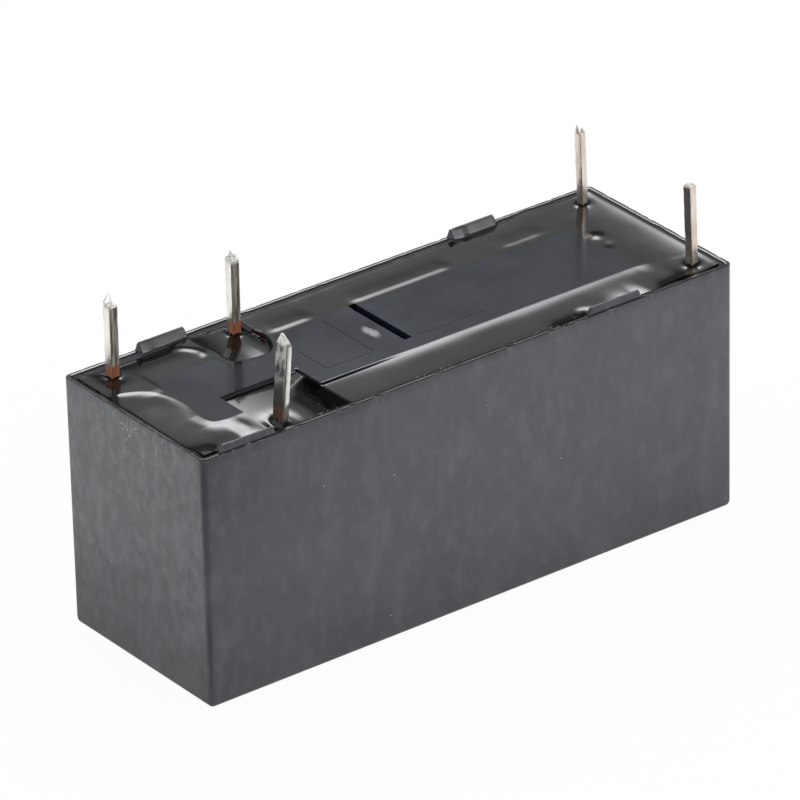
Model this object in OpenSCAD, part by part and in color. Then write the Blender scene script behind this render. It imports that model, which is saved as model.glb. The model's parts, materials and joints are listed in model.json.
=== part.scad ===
// Sealed low-profile power relay for a printed circuit board, with one changeover contact.
// It lies on the closed face of its case with the pins up. X runs along the case, from the contacts to
// the coil, and Z = 0 is the closed face. Lengths are in millimetres, angles in degrees.

/* [Case] */
// Length of the case at its rim
case_l = 28.5; // [28:0.1:31]
// Width of the case at its rim
case_w = 10.0; // [9.8:0.1:12]
// Height of the case from its closed face to its rim
case_h = 11.95; // [11.8:0.05:13]
// Thickness of the side walls
wall = 0.45; // [0.3:0.05:0.5]
// Thickness of the closed face
face_t = 0.6; // [0.4:0.05:0.75]
// Radius of the outer edges
edge_r = 0.3; // [0.1:0.05:0.4]
// How far each wall leans in between the rim and the closed face
draft = 0.04; // [0:0.01:0.08]

/* [Standoffs] */
// Height of the standoffs above the rim
standoff_h = 0.35; // [0.2:0.05:0.6]
// Width of a standoff's flat top, across the wall
standoff_land = 0.22; // [0.15:0.01:0.3]
// Length of the standoffs on the common pin's side
near_standoff_l = 2.85; // [2:0.05:3.2]
// Length of the standoffs on the other side
far_standoff_l = 2.6; // [2:0.05:3.2]

/* [Pins] */
// Length of the pins above the board seat
pin_len = 3.5; // [2.5:0.1:5]
// Distance between neighbouring contact pins, along the case
contact_pitch = 3.2; // [3.1:0.05:3.3]
// Distance between the two rows of pins
row_pitch = 7.62; // [7.3:0.02:7.7]
// Distance from the normally open pin to the coil pins, along the case
coil_pitch = 19.05; // [17:0.05:19.3]
// How far the middle of the pin pattern lies towards the coil end
pin_shift = 0.22; // [0:0.02:0.3]
// Thickness of the fixed contact pins, along the case
fixed_pin_t = 0.43; // [0.35:0.01:0.5]
// Width of the fixed contact pins, across the case
fixed_pin_w = 0.5; // [0.4:0.01:0.7]
// Thickness of the common pin, along the case
com_pin_t = 0.31; // [0.25:0.01:0.4]
// Width of the common pin, across the case
com_pin_w = 0.72; // [0.5:0.01:0.8]
// Side of the square coil pins
coil_pin_s = 0.37; // [0.3:0.01:0.45]
// How far the common pin leans towards the coil end
com_lean = 5; // [0:0.5:8]
// How far the coil pins lean towards the contact end
coil_lean = 1.7; // [0:0.1:4]

/* [Base and seal] */
// Width of the raised panel of the base
panel_w = 5.1; // [4.6:0.1:5.6]
// How far the panel lies below the rim
panel_drop = 0.1; // [0.05:0.05:0.3]
// Depth of the moat round the panel
moat_depth = 0.85; // [0.6:0.05:1]
// Thickness of the base below the moat
base_floor = 0.8; // [0.6:0.05:0.9]
// How far the epoxy's level lies below the panel
seal_drop = 0.1; // [0.05:0.05:0.5]
// Width of the vent slot in the panel
slot_w = 0.38; // [0.2:0.02:0.6]
// Thickness of the barrier between the contacts and the coil
barrier_t = 0.45; // [0.3:0.05:0.6]

/* [Contacts] */
// Radius of the contact heads
contact_r = 1.05; // [0.8:0.05:1.2]
// Thickness of the fixed contact heads
fixed_head_t = 0.5; // [0.3:0.05:0.6]
// Thickness of each head of the moving contact, at its crown
moving_head_t = 0.45; // [0.35:0.05:0.55]
// Thickness of the contact spring
spring_t = 0.15; // [0.1:0.01:0.2]
// Width of the contact spring at its rivets
spring_root_w = 3.6; // [3.2:0.1:4]
// Width of the contact spring at its contact
spring_tip_w = 2.8; // [2.4:0.1:3.2]
// Thickness of the actuator card
card_t = 0.6; // [0.5:0.05:0.7]
// Width of the actuator card
card_w = 3.8; // [3.6:0.1:5]

/* [Magnet] */
// Thickness of the armature
armature_t = 1.0; // [0.8:0.05:1.1]
// How far the armature stands open at rest
armature_angle = 4.5; // [3:0.1:5]
// Thickness of the return leaf on the armature
leaf_t = 0.12; // [0.08:0.01:0.15]
// Width of the return leaf
leaf_w = 2.6; // [2.2:0.1:3]
// Thickness of the yoke
yoke_t = 1.1; // [0.9:0.05:1.2]
// Radius of the core inside the coil
core_r = 1.7; // [1.4:0.05:1.8]
// Radius of the core's pole head
pole_r = 2.5; // [2.2:0.05:2.6]
// Radius of the winding
winding_r = 3.65; // [3.2:0.05:3.7]
// Thickness of the bobbin's flanges
flange_t = 0.8; // [0.6:0.05:1]

/* [Hidden] */
$fn = 48;

// Clearances: between glued or pressed pieces, round pins in the base, between moving pieces, in the card
glue_gap = 0.01;
pin_gap = 0.03;
fit_gap = 0.05;
run_gap = 0.1;
touch_gap = 0.04;

// Heights, from the case down to the parts that hang from the base
half_l = case_l / 2;
half_w = case_w / 2;
in_x = half_l - wall;
in_y = half_w - wall;
seat_z = case_h + standoff_h;
tip_z = seat_z + pin_len;
panel_z = case_h - panel_drop;
moat_z = panel_z - moat_depth;
base_z = moat_z - base_floor;
seal_z = panel_z - seal_drop;

// Pin places
row_y = row_pitch / 2;
nc_x = pin_shift - contact_pitch - coil_pitch / 2;
com_x = nc_x + contact_pitch;
no_x = com_x + contact_pitch;
coil_x = no_x + coil_pitch;

// Standoffs: side of the case, middle along X, length. Their middles lie at these distances from the
// common pin or from the coil pins
near_com_shift = -2.52;
near_coil_shift = -5.15;
far_com_shift = 0.07;
far_coil_shift = -5.4;
STANDOFFS = [[-1, com_x + near_com_shift, near_standoff_l], [-1, coil_x + near_coil_shift, near_standoff_l],
             [1, com_x + far_com_shift, far_standoff_l], [1, coil_x + far_coil_shift, far_standoff_l]];
standoff_slope = 0.12;

// Bevels of the pin tips
fixed_pin_bevel = 0.3;
com_pin_bevel = 0.5;
coil_pin_bevel = 0.15;

// Base
base_x = in_x - fit_gap;
base_y = in_y - fit_gap;
panel_x0 = nc_x + 0.9;
panel_x1 = coil_x - 1.85;
panel_r = 0.3;
panel_chamfer = 0.15;
slot_x = (panel_x0 + panel_x1) / 2 - 0.7;
slot_y0 = -1.45;
slot_depth = 0.6;
com_pocket_x0 = com_x - 0.88;
com_pocket_x1 = com_x + 3.17;
com_pocket_y = -0.7;
no_pocket_x0 = no_x - 2.0;
no_pocket_x1 = no_x + 0.9;
no_pocket_y = 1.25;
no_pocket_r = 0.6;
bulge_l = 1.65;
bulge_d = 0.22;
gate_r = 0.4;
gate_y = 0.5;
gate_drop = 0.12;
barrier_x = no_x + 1.0;

// Actuator card, which runs on the inside of the closed face
runner_h = 0.8;
runner_w = 0.4;
card_z0 = face_t + run_gap + runner_h;
card_z1 = card_z0 + card_t;
card_z = (card_z0 + card_z1) / 2;
card_end = 0.5;
tongue_z = card_z0 - 0.35;
tongue_w = 2.2;

// Contact stack along X, from the common terminal outwards
spring_x0 = com_x + com_pin_t / 2 + run_gap;
spring_x1 = spring_x0 + spring_t;
plate_edge = 1.3;
contact_z = card_z1 + 0.5 + plate_edge;
pivot_z = base_z - 0.8;
dome_r = 3;
shank_r = 0.5;
tail_r = 0.75;
tail_t = 0.15;
com_plate_h = 1.6;
com_plate_y = spring_root_w / 2 + 0.4;
leg_y = row_y - 1.11;
slit_w = 0.4;
slit_margin = 1.65;
slit_l = pivot_z - contact_z - 2 * slit_margin;
spring_head = 0.5;
spring_neck = 1.2;
spring_taper = 0.4;
rivet_y = 1.1;
rivet_r = 0.32;
rivet_head_r = 0.58;
rivet_head_t = 0.25;

// Travel: the card moves with the armature's tongue, and the spring's tongue with the card
armature_arm = base_z - card_z;
spring_arm = pivot_z - card_z;
card_travel = armature_arm * sin(armature_angle);
spring_angle = armature_angle * armature_arm / spring_arm;
nc_face = spring_x0 - moving_head_t - touch_gap;
crown_x = spring_x1 + moving_head_t - dome_r - com_x;
swung_x = crown_x * cos(spring_angle) + (pivot_z - contact_z) * sin(spring_angle);
no_face = com_x + swung_x + dome_r + touch_gap;
nc_plate_x = nc_face - fixed_head_t - fixed_pin_t;
no_plate_x = no_face + fixed_head_t;

// Magnet
armature_sweep = (base_z - tongue_z) * sin(armature_angle);
armature_room = 0.5;
armature_top = 0.2;
pole_x = barrier_x + barrier_t + armature_room + armature_t + armature_sweep + fit_gap;
hinge_x = pole_x - fit_gap;
block_half = 0.5;
block_h = 2.8;
yoke_y = row_y - block_half - 0.2;
ear = 0.6;
ear_h = 0.8;
leaf_top_l = 2.0;
leaf_front_l = 6.5;
leaf_rivet_y = 0.75;
leaf_rivet_z = 4.2;
leaf_rivet_r = 0.3;
leaf_rivet_head = 0.2;
leaf_relief = 0.5;
pole_t = 0.75;
flange_x = pole_x + pole_t;
rear_x = coil_x - 1.0;
wind_x0 = flange_x + flange_t;
wind_x1 = rear_x - flange_t;
tape_t = 0.1;
coil_gap = 0.2;
coil_z = base_z - yoke_t - coil_gap - tape_t - winding_r;
barrel_t = 0.5;
barrel_r = core_r + glue_gap + barrel_t;
flange_y = row_y + 0.4;
flange_z = face_t + 0.35;
flange_r = 0.5;
stake_r = 1.2;
stake_head_r = 1.6;
stake_head_t = 0.3;
stake_edge = 0.9;
yoke_foot = coil_z - stake_head_r - stake_edge;

// Coil leads
lead_r = 0.07;
lead_angle = 25;
joint_r = 0.42;
joint_z = base_z - block_h - joint_r;
lead_reach = winding_r + lead_r + glue_gap;
lead_room = 0.25;
lead_notch = 1.0;

// Box between two corners
module block(a, b) {
    translate(a) cube(b - a);
}

// Flat shape drawn in Y and Z, extruded along X
module x_plate(x0, x1) {
    translate([x0, 0, 0]) rotate([90, 0, 90]) linear_extrude(x1 - x0) children();
}

// Flat shape drawn in X and Z, extruded along Y
module y_plate(y0, y1) {
    translate([0, y1, 0]) rotate([90, 0, 0]) linear_extrude(y1 - y0) children();
}

// Disc on an axis along X
module x_disc(x0, x1, y, z, r) {
    translate([x0, y, z]) rotate([0, 90, 0]) cylinder(h = x1 - x0, r = r);
}

// Turned piece on an axis along X, from a profile of radius against X
module turned(y, z) {
    translate([0, y, z]) rotate([0, 90, 0]) rotate_extrude() children();
}

// Round rod between two points
module rod(a, b, r) {
    d = b - a;
    translate(a) rotate([0, acos(d.z / norm(d)), atan2(d.y, d.x)]) cylinder(h = norm(d), r = r);
}

module rounded_rect(l, w, r) {
    square([l - 2 * r, w], center = true);
    square([l, w - 2 * r], center = true);
    for (x = [-1, 1], y = [-1, 1]) translate([x * (l / 2 - r), y * (w / 2 - r)]) circle(r);
}

function arc(c, r, a0, a1, n = 8) =
    [for (i = [0:n]) c + r * [cos(a0 + (a1 - a0) * i / n), sin(a0 + (a1 - a0) * i / n)]];

// Section of the case's outside: drafted walls, rounded at the closed face
module outer_section(half) {
    foot = half - draft;
    polygon(concat([[half, case_h], [-half, case_h]],
                   arc([edge_r - foot, edge_r], edge_r, 180, 270),
                   arc([foot - edge_r, edge_r], edge_r, 270, 360)));
}

// Section of the case's inside, cut through the rim
module cavity_section(half) {
    foot = half - draft;
    polygon([[foot, face_t], [half, case_h], [half, seat_z],
             [-half, seat_z], [-half, case_h], [-foot, face_t]]);
}

// Standoff on the rim: flush with the outer wall, sloping inwards and at its ends
module standoff(side, x, l) {
    x0 = x - l / 2;
    x1 = x + l / 2;
    intersection() {
        x_plate(x0, x1)
            polygon([[side * half_w, case_h], [side * half_w, seat_z],
                     [side * (half_w - standoff_land), seat_z], [side * in_y, case_h]]);
        y_plate(-half_w, half_w)
            polygon([[x0, case_h], [x0 + standoff_slope, seat_z],
                     [x1 - standoff_slope, seat_z], [x1, case_h]]);
    }
}

module case() {
    color("#2b2b2d") {
        difference() {
            intersection() {
                linear_extrude(case_h) rounded_rect(case_l + 2 * glue_gap, case_w + 2 * glue_gap, edge_r);
                y_plate(-case_w, case_w) outer_section(half_l);
                x_plate(-case_l, case_l) outer_section(half_w);
            }
            intersection() {
                y_plate(-half_w, half_w) cavity_section(in_x);
                x_plate(-half_l, half_l) cavity_section(in_y);
            }
        }
        for (s = STANDOFFS) standoff(s[0], s[1], s[2]);
    }
}

// Plan of the raised panel: a bulge beside the vent slot, a gate stub at the coil end,
// a square pocket at the common pin and an arched one at the normally open pin
module panel_outline() {
    difference() {
        union() {
            translate([(panel_x0 + panel_x1) / 2, 0]) rounded_rect(panel_x1 - panel_x0, panel_w, panel_r);
            translate([slot_x - bulge_l / 2, panel_w / 4])
                rounded_rect(bulge_l, panel_w / 2 + 2 * bulge_d, bulge_d);
            translate([panel_x1, gate_y]) circle(gate_r);
        }
        translate([com_pocket_x0, -panel_w])
            square([com_pocket_x1 - com_pocket_x0, panel_w + com_pocket_y]);
        translate([(no_pocket_x0 + no_pocket_x1) / 2, no_pocket_y + panel_w / 2])
            rounded_rect(no_pocket_x1 - no_pocket_x0, panel_w, no_pocket_r);
    }
}

// Sections of all pins in plan, grown by a clearance
module pin_sections(gap) {
    for (x = [nc_x, no_x])
        translate([x, row_y]) square([fixed_pin_t, fixed_pin_w] + [2, 2] * gap, center = true);
    translate([com_x, -row_y]) square([com_pin_t, com_pin_w] + [2, 2] * gap, center = true);
    for (s = [-1, 1]) translate([coil_x, s * row_y]) square(coil_pin_s + 2 * gap, center = true);
}

// Section of the panel across the case, from its near edge to its far one, chamfered along both
module panel_section(near, far) {
    polygon([[near, moat_z], [far, moat_z], [far, panel_z - panel_chamfer], [far - panel_chamfer, panel_z],
             [near + panel_chamfer, panel_z], [near, panel_z - panel_chamfer]]);
}

module panel() {
    intersection() {
        translate([0, 0, moat_z]) linear_extrude(panel_z - moat_z) panel_outline();
        union() {
            x_plate(panel_x0, panel_x1) panel_section(-panel_w / 2, panel_w / 2);
            x_plate(slot_x - bulge_l, slot_x) panel_section(-panel_w / 2, panel_w / 2 + bulge_d);
            translate([panel_x1, gate_y, moat_z])
                cylinder(h = panel_z - gate_drop - moat_z, r = 2 * gate_r);
        }
    }
}

module base() {
    color("#3c3e42") difference() {
        union() {
            block([-base_x, -base_y, base_z], [base_x, base_y, moat_z]);
            panel();
            block([barrier_x, -base_y, card_z1 + run_gap * 4],
                  [barrier_x + barrier_t, base_y, base_z + base_floor / 2]);
        }
        block([slot_x, slot_y0, panel_z - slot_depth], [slot_x + slot_w, panel_w, seat_z]);
        translate([0, 0, base_z - base_floor]) linear_extrude(3 * base_floor) pin_sections(pin_gap);
        // Room above the yoke for the leaf, which lifts as the armature closes
        block([hinge_x - armature_t - 4 * run_gap, -leaf_w / 2 - 2 * run_gap, base_z - base_floor],
              [hinge_x + leaf_top_l + 3 * run_gap, leaf_w / 2 + 2 * run_gap, base_z + leaf_relief]);
    }
}

module epoxy_seal() {
    color("#17181a") translate([0, 0, moat_z]) linear_extrude(seal_z - moat_z) difference() {
        square([2 * (in_x - glue_gap), 2 * (in_y - glue_gap)], center = true);
        panel_outline();
        pin_sections(0);
    }
}

// Pin: straight through the base, leaning above the panel, bevelled at its tip
module pin(x, y, t, w, z0, lean, bevel) {
    reach = tan(lean) * (tip_z - panel_z);
    side = tan(lean) * (tip_z - bevel - panel_z);
    translate([x, y, 0]) y_plate(-w / 2, w / 2)
        polygon([[-t / 2, z0], [t / 2, z0], [t / 2, panel_z], [t / 2 + side, tip_z - bevel],
                 [t / 4 + reach, tip_z], [reach - t / 4, tip_z], [side - t / 2, tip_z - bevel],
                 [-t / 2, panel_z]]);
}

// Fixed terminal: pin, strap under the base and a blade that reaches down to its contact
module fixed_terminal(x, plate_x) {
    strap_x0 = min(x - fixed_pin_t / 2, plate_x);
    strap_x1 = max(x + fixed_pin_t / 2, plate_x + fixed_pin_t);
    outer_y = row_y + fixed_pin_w / 2;
    color("#c9c7c2") difference() {
        union() {
            pin(x, row_y, fixed_pin_t, fixed_pin_w, base_z - fixed_pin_t, 0, fixed_pin_bevel);
            block([strap_x0, leg_y, base_z - fixed_pin_t], [strap_x1, outer_y, base_z]);
            x_plate(plate_x, plate_x + fixed_pin_t)
                polygon([[leg_y, base_z], [outer_y, base_z], [outer_y, contact_z - plate_edge],
                         [-plate_edge, contact_z - plate_edge], [-plate_edge, contact_z + plate_edge],
                         [leg_y - plate_edge, contact_z + plate_edge],
                         [leg_y, contact_z + 2 * plate_edge]]);
        }
        x_disc(plate_x - run_gap, plate_x + fixed_pin_t + run_gap, 0, contact_z, shank_r + glue_gap);
    }
}

module nc_terminal() {
    fixed_terminal(nc_x, nc_plate_x);
}

module no_terminal() {
    fixed_terminal(no_x, no_plate_x);
}

module com_terminal() {
    color("#c9c7c2") difference() {
        union() {
            pin(com_x, -row_y, com_pin_t, com_pin_w, base_z - com_plate_h, com_lean, com_pin_bevel);
            block([com_x - com_pin_t / 2, -row_y - com_pin_w / 2, base_z - com_plate_h],
                  [com_x + com_pin_t / 2, com_plate_y, base_z]);
        }
        for (y = [-rivet_y, rivet_y])
            x_disc(com_x - com_pin_t, com_x + com_pin_t, y, pivot_z, rivet_r + 0.6 * run_gap);
    }
}

module coil_pin(side) {
    color("#b9b4ae")
        pin(coil_x, side * row_y, coil_pin_s, coil_pin_s, joint_z - joint_r, -coil_lean, coil_pin_bevel);
}

module coil_pin_near() {
    coil_pin(-1);
}

module coil_pin_far() {
    coil_pin(1);
}

// Fixed contact rivet: head on the side of the moving contact, tail behind the blade
module nc_contact() {
    color("#d8d5cc") {
        x_disc(nc_plate_x + fixed_pin_t, nc_face, 0, contact_z, contact_r);
        x_disc(nc_plate_x, nc_plate_x + fixed_pin_t, 0, contact_z, shank_r);
        x_disc(nc_plate_x - tail_t, nc_plate_x, 0, contact_z, tail_r);
    }
}

module no_contact() {
    color("#d8d5cc") {
        x_disc(no_face, no_plate_x, 0, contact_z, contact_r);
        x_disc(no_plate_x, no_plate_x + fixed_pin_t, 0, contact_z, shank_r);
        x_disc(no_plate_x + fixed_pin_t, no_plate_x + fixed_pin_t + tail_t, 0, contact_z, tail_r);
    }
}

// Profile of a crowned contact head that stands on x and points along dir
module crowned_head(x, dir) {
    crown = x + dir * moving_head_t;
    intersection() {
        translate([0, min(x, crown)]) square([contact_r, moving_head_t]);
        translate([0, crown - dir * dome_r]) circle(dome_r);
    }
}

// Moving contact: a rivet with a crowned head on each side of the spring
module moving_contact() {
    color("#d8d5cc") turned(0, contact_z) {
        crowned_head(spring_x0, -1);
        crowned_head(spring_x1, 1);
        translate([0, spring_x0]) square([shank_r, spring_t]);
    }
}

// Contact spring: wide at its rivets, slit down the middle, with a tongue that the card holds
module contact_spring() {
    root = spring_root_w / 2;
    tip = spring_tip_w / 2;
    tongue = tongue_w / 2;
    shoulder_z = card_z1 + 2 * run_gap;
    half = [[root, pivot_z + spring_head], [root, pivot_z - spring_neck], [tip, contact_z + contact_r],
            [tip, shoulder_z + spring_taper], [tongue, shoulder_z], [tongue, tongue_z]];
    color("#b98a52") x_plate(spring_x0, spring_x1) difference() {
        polygon(concat(half, [for (i = [len(half) - 1:-1:0]) [-half[i].x, half[i].y]]));
        translate([0, contact_z]) circle(shank_r + glue_gap);
        for (y = [-rivet_y, rivet_y]) translate([y, pivot_z]) circle(rivet_r + glue_gap);
        translate([0, (pivot_z + contact_z) / 2]) rounded_rect(slit_w, slit_l, slit_w / 2 - glue_gap);
    }
}

module spring_rivets() {
    back_x = com_x - com_pin_t / 2 - run_gap;
    color("#c2a15c") for (y = [-rivet_y, rivet_y]) {
        x_disc(spring_x1, spring_x1 + rivet_head_t, y, pivot_z, rivet_head_r);
        x_disc(back_x, spring_x1, y, pivot_z, rivet_r);
        x_disc(back_x - rivet_head_t, back_x, y, pivot_z, rivet_head_r);
    }
}

// Actuator card: a slot round each tongue and two runners along its edges
module actuator_card() {
    swing = card_t / 2 * sin(armature_angle) + run_gap;
    mid_x = hinge_x - armature_t / 2 - card_travel;
    half_slot = armature_t / 2 / cos(armature_angle) + swing;
    x0 = spring_x0 - run_gap - card_end;
    x1 = mid_x + half_slot + card_end;
    color("#d9d2bd") difference() {
        union() {
            block([x0, -card_w / 2, card_z0], [x1, card_w / 2, card_z1]);
            for (y = [-card_w / 2, card_w / 2 - runner_w])
                block([x0, y, card_z0 - runner_h], [x1, y + runner_w, card_z0]);
        }
        block([spring_x0 - run_gap, -tongue_w / 2 - run_gap, face_t],
              [spring_x1 + run_gap, tongue_w / 2 + run_gap, seat_z]);
        block([mid_x - half_slot, -tongue_w / 2 - run_gap, face_t],
              [mid_x + half_slot, tongue_w / 2 + run_gap, seat_z]);
    }
}

// Frame of the hinge: its origin is the yoke's front edge, where the armature tips
module at_hinge(angle) {
    translate([hinge_x, 0, base_z]) rotate([0, angle, 0]) children();
}

// Holes for the two rivets of the return leaf, drawn in the hinge's frame
module leaf_rivet_holes() {
    for (y = [-leaf_rivet_y, leaf_rivet_y])
        translate([y, -leaf_rivet_z]) circle(leaf_rivet_r + glue_gap);
}

// Armature: a plate with notched top corners and a tongue at its free end
module armature() {
    tongue = tongue_w / 2;
    notch_y = yoke_y - ear - run_gap;
    notch_z = -ear_h - 2 * run_gap;
    shoulder_z = card_z1 + run_gap - base_z;
    taper_z = shoulder_z + yoke_y - tongue;
    half = [[notch_y, -armature_top], [notch_y, notch_z], [yoke_y, notch_z], [yoke_y, taper_z],
            [tongue, shoulder_z], [tongue, tongue_z - base_z]];
    color("#8f8d89") at_hinge(armature_angle) x_plate(-armature_t, 0) difference() {
        polygon(concat(half, [for (i = [len(half) - 1:-1:0]) [-half[i].x, half[i].y]]));
        leaf_rivet_holes();
    }
}

// Return leaf: riveted to the armature's front, bent over its edge and lying on the yoke
module armature_spring() {
    top_z = fit_gap + leaf_t;
    color("#c8b27c") {
        at_hinge(armature_angle) x_plate(-armature_t - leaf_t, -armature_t) difference() {
            translate([-leaf_w / 2, -leaf_front_l]) square([leaf_w, leaf_front_l + top_z]);
            leaf_rivet_holes();
        }
        at_hinge(0) block([-armature_t - leaf_t, -leaf_w / 2, fit_gap], [leaf_top_l, leaf_w / 2, top_z]);
    }
}

module armature_rivets() {
    front = -armature_t - leaf_t;
    color("#c2a15c") at_hinge(armature_angle) for (y = [-leaf_rivet_y, leaf_rivet_y]) {
        x_disc(front, -fit_gap, y, -leaf_rivet_z, leaf_rivet_r);
        x_disc(front - leaf_rivet_head, front, y, -leaf_rivet_z, leaf_rivet_r + leaf_rivet_head);
    }
}

// Yoke: an L of iron with two ears that keep the armature from slipping sideways
module yoke() {
    color("#a3a19c") difference() {
        union() {
            block([pole_x, -yoke_y, base_z - yoke_t], [rear_x + yoke_t, yoke_y, base_z]);
            block([rear_x, -yoke_y, yoke_foot], [rear_x + yoke_t, yoke_y, base_z]);
            for (y = [-yoke_y, yoke_y - ear])
                block([pole_x - ear, y, base_z - ear_h], [pole_x, y + ear, base_z]);
        }
        x_disc(rear_x - run_gap, rear_x + yoke_t + run_gap, 0, coil_z, stake_r + glue_gap);
    }
}

// Core: pole head at the armature, rod through the bobbin, staked end in the yoke
module core() {
    stake_x = rear_x + yoke_t;
    end_x = stake_x + stake_head_t;
    color("#9a9893") turned(0, coil_z)
        polygon([[0, pole_x], [pole_r, pole_x], [pole_r, flange_x], [core_r, flange_x], [core_r, rear_x],
                 [stake_r, rear_x], [stake_r, stake_x], [stake_head_r, stake_x],
                 [stake_head_r, end_x], [0, end_x]]);
}

module flange(x0) {
    top_z = base_z - yoke_t;
    x_plate(x0, x0 + flange_t)
        translate([0, (flange_z + top_z) / 2]) rounded_rect(2 * flange_y, top_z - flange_z, flange_r);
}

// Bobbin: barrel, two flanges, and two blocks beside the yoke that hold the coil pins
module bobbin() {
    color("#e4ddc8") difference() {
        union() {
            flange(flange_x);
            flange(rear_x - flange_t);
            x_disc(flange_x, rear_x, 0, coil_z, barrel_r);
            for (s = [-1, 1])
                block([rear_x, s * row_y - block_half, base_z - block_h],
                      [coil_x + block_half, s * row_y + block_half, base_z]);
        }
        x_disc(flange_x - run_gap, rear_x + run_gap, 0, coil_z, core_r + glue_gap);
        for (s = [-1, 1]) {
            translate([coil_x, s * row_y, joint_z]) linear_extrude(seat_z)
                square(coil_pin_s + 2 * pin_gap, center = true);
            // Notch in the rear flange for the lead
            translate([wind_x1, s * (abs(lead_start(s).y) - lead_room + flange_y), lead_start(s).z])
                cube([4 * flange_t, 2 * flange_y, lead_notch], center = true);
        }
    }
}

module ring(x0, x1, outer, inner) {
    difference() {
        x_disc(x0, x1, 0, coil_z, outer);
        x_disc(x0 - run_gap, x1 + run_gap, 0, coil_z, inner);
    }
}

module winding() {
    color("#b4622d") ring(wind_x0, wind_x1, winding_r, barrel_r + glue_gap);
}

module coil_tape() {
    color("#c9a93c")
        ring(wind_x0 + 3 * run_gap, wind_x1 - 6 * run_gap, winding_r + tape_t, winding_r + glue_gap);
}

// A coil lead leaves the winding beside the rear flange and ends in the solder on its pin
function lead_start(s) =
    [wind_x1 - 2 * run_gap, s * lead_reach * cos(lead_angle), coil_z + lead_reach * sin(lead_angle)];

function lead_end(s) = [coil_x, s * row_y, joint_z];

module coil_lead(s) {
    a = lead_start(s);
    b = lead_end(s);
    color("#a3502a") rod(a, b - (b - a) / norm(b - a) * coil_pin_s, lead_r);
}

module coil_lead_near() {
    coil_lead(-1);
}

module coil_lead_far() {
    coil_lead(1);
}

module lead_joints() {
    color("#bfc0c2") for (s = [-1, 1]) difference() {
        translate(lead_end(s)) sphere(joint_r - glue_gap);
        translate([coil_x, s * row_y, joint_z]) cube([coil_pin_s, coil_pin_s, 4 * joint_r], center = true);
        coil_lead(s);
    }
}

case();
base();
epoxy_seal();
nc_terminal();
no_terminal();
com_terminal();
coil_pin_near();
coil_pin_far();
nc_contact();
no_contact();
moving_contact();
contact_spring();
spring_rivets();
actuator_card();
armature();
armature_spring();
armature_rivets();
yoke();
core();
bobbin();
winding();
coil_tape();
coil_lead_near();
coil_lead_far();
lead_joints();
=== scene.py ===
"""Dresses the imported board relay: satin case, glossy sealing resin, tinned pins and the works inside.

Places in this file are millimetres in the part's own frame, and meshes are written in metres.
"""

import json
import math

import bmesh
import bpy
import numpy as np
from bpy.props import FloatProperty, IntProperty, PointerProperty, StringProperty
from mathutils import Matrix, Vector, noise


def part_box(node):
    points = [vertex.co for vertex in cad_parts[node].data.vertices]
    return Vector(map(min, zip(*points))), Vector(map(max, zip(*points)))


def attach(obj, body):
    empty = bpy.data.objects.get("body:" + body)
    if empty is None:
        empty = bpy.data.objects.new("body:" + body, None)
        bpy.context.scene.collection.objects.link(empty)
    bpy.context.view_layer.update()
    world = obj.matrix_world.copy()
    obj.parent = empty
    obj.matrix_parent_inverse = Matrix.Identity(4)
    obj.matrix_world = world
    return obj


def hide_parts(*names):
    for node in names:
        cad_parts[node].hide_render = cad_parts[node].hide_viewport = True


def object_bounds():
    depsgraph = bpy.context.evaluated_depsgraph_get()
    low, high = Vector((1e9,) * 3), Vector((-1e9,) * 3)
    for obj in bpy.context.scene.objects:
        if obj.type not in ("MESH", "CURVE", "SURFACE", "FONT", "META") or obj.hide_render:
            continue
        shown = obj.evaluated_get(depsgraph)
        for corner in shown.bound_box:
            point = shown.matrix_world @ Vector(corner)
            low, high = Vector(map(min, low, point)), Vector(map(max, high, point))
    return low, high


bl_info = {
    "name": "Board relay looks",
    "version": (1, 0, 0),
    "blender": (4, 5, 0),
    "location": "View3D > Sidebar > Relay",
    "description": "Builds the visible pieces of a sealed board relay around its packed solids",
    "category": "Object",
}

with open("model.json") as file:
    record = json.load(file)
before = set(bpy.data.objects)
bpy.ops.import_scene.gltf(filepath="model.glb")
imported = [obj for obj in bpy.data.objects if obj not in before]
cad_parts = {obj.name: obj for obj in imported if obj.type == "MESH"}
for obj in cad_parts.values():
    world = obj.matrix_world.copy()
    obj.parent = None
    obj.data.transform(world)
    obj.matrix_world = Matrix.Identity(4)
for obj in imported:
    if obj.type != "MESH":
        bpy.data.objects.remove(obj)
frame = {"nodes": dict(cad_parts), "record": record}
CAD_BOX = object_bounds()
MM = 0.001
BODY = "housing"


def box_mm(node):
    """Lowest and highest corner of a solid, in millimetres."""
    low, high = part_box(node)
    return [v / MM for v in low], [v / MM for v in high]


# Places that the frame gives
CASE_LOW, CASE_HIGH = box_mm("case")
SEAL_LOW, SEAL_HIGH = box_mm("epoxy_seal")
PANEL_Z = box_mm("base")[1][2]
MOAT_Z = SEAL_LOW[2]
IN_X = SEAL_HIGH[0]
IN_Y = SEAL_HIGH[1]
TIP_Z = CAD_BOX[1][2] / MM


def mount_mm(name):
    """Place of one of the record's mounts, in millimetres."""
    found = [m for m in frame["record"]["mounts"] if m["name"] == name]
    return [v / MM for v in found[0]["pos_m"]]


NC = mount_mm("nc_pin")
NO = mount_mm("no_pin")
COM = mount_mm("com_pin")
COIL = mount_mm("coil_pin_a")
ROW_Y = NC[1]
# The common pin leans to the coil end and the coil pins lean back, so their feet stand off their mounts
COM_LEAN, COIL_LEAN = 5.0, -1.7
COM_X = COM[0] - math.tan(math.radians(COM_LEAN)) * (COM[2] - PANEL_Z)
COIL_X = COIL[0] - math.tan(math.radians(COIL_LEAN)) * (COIL[2] - PANEL_Z)
# Half sizes of the pins' sections
FIXED_HALF, COMMON_HALF, WIRE_HALF = (0.215, 0.25), (0.155, 0.36), (0.185, 0.185)


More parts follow.
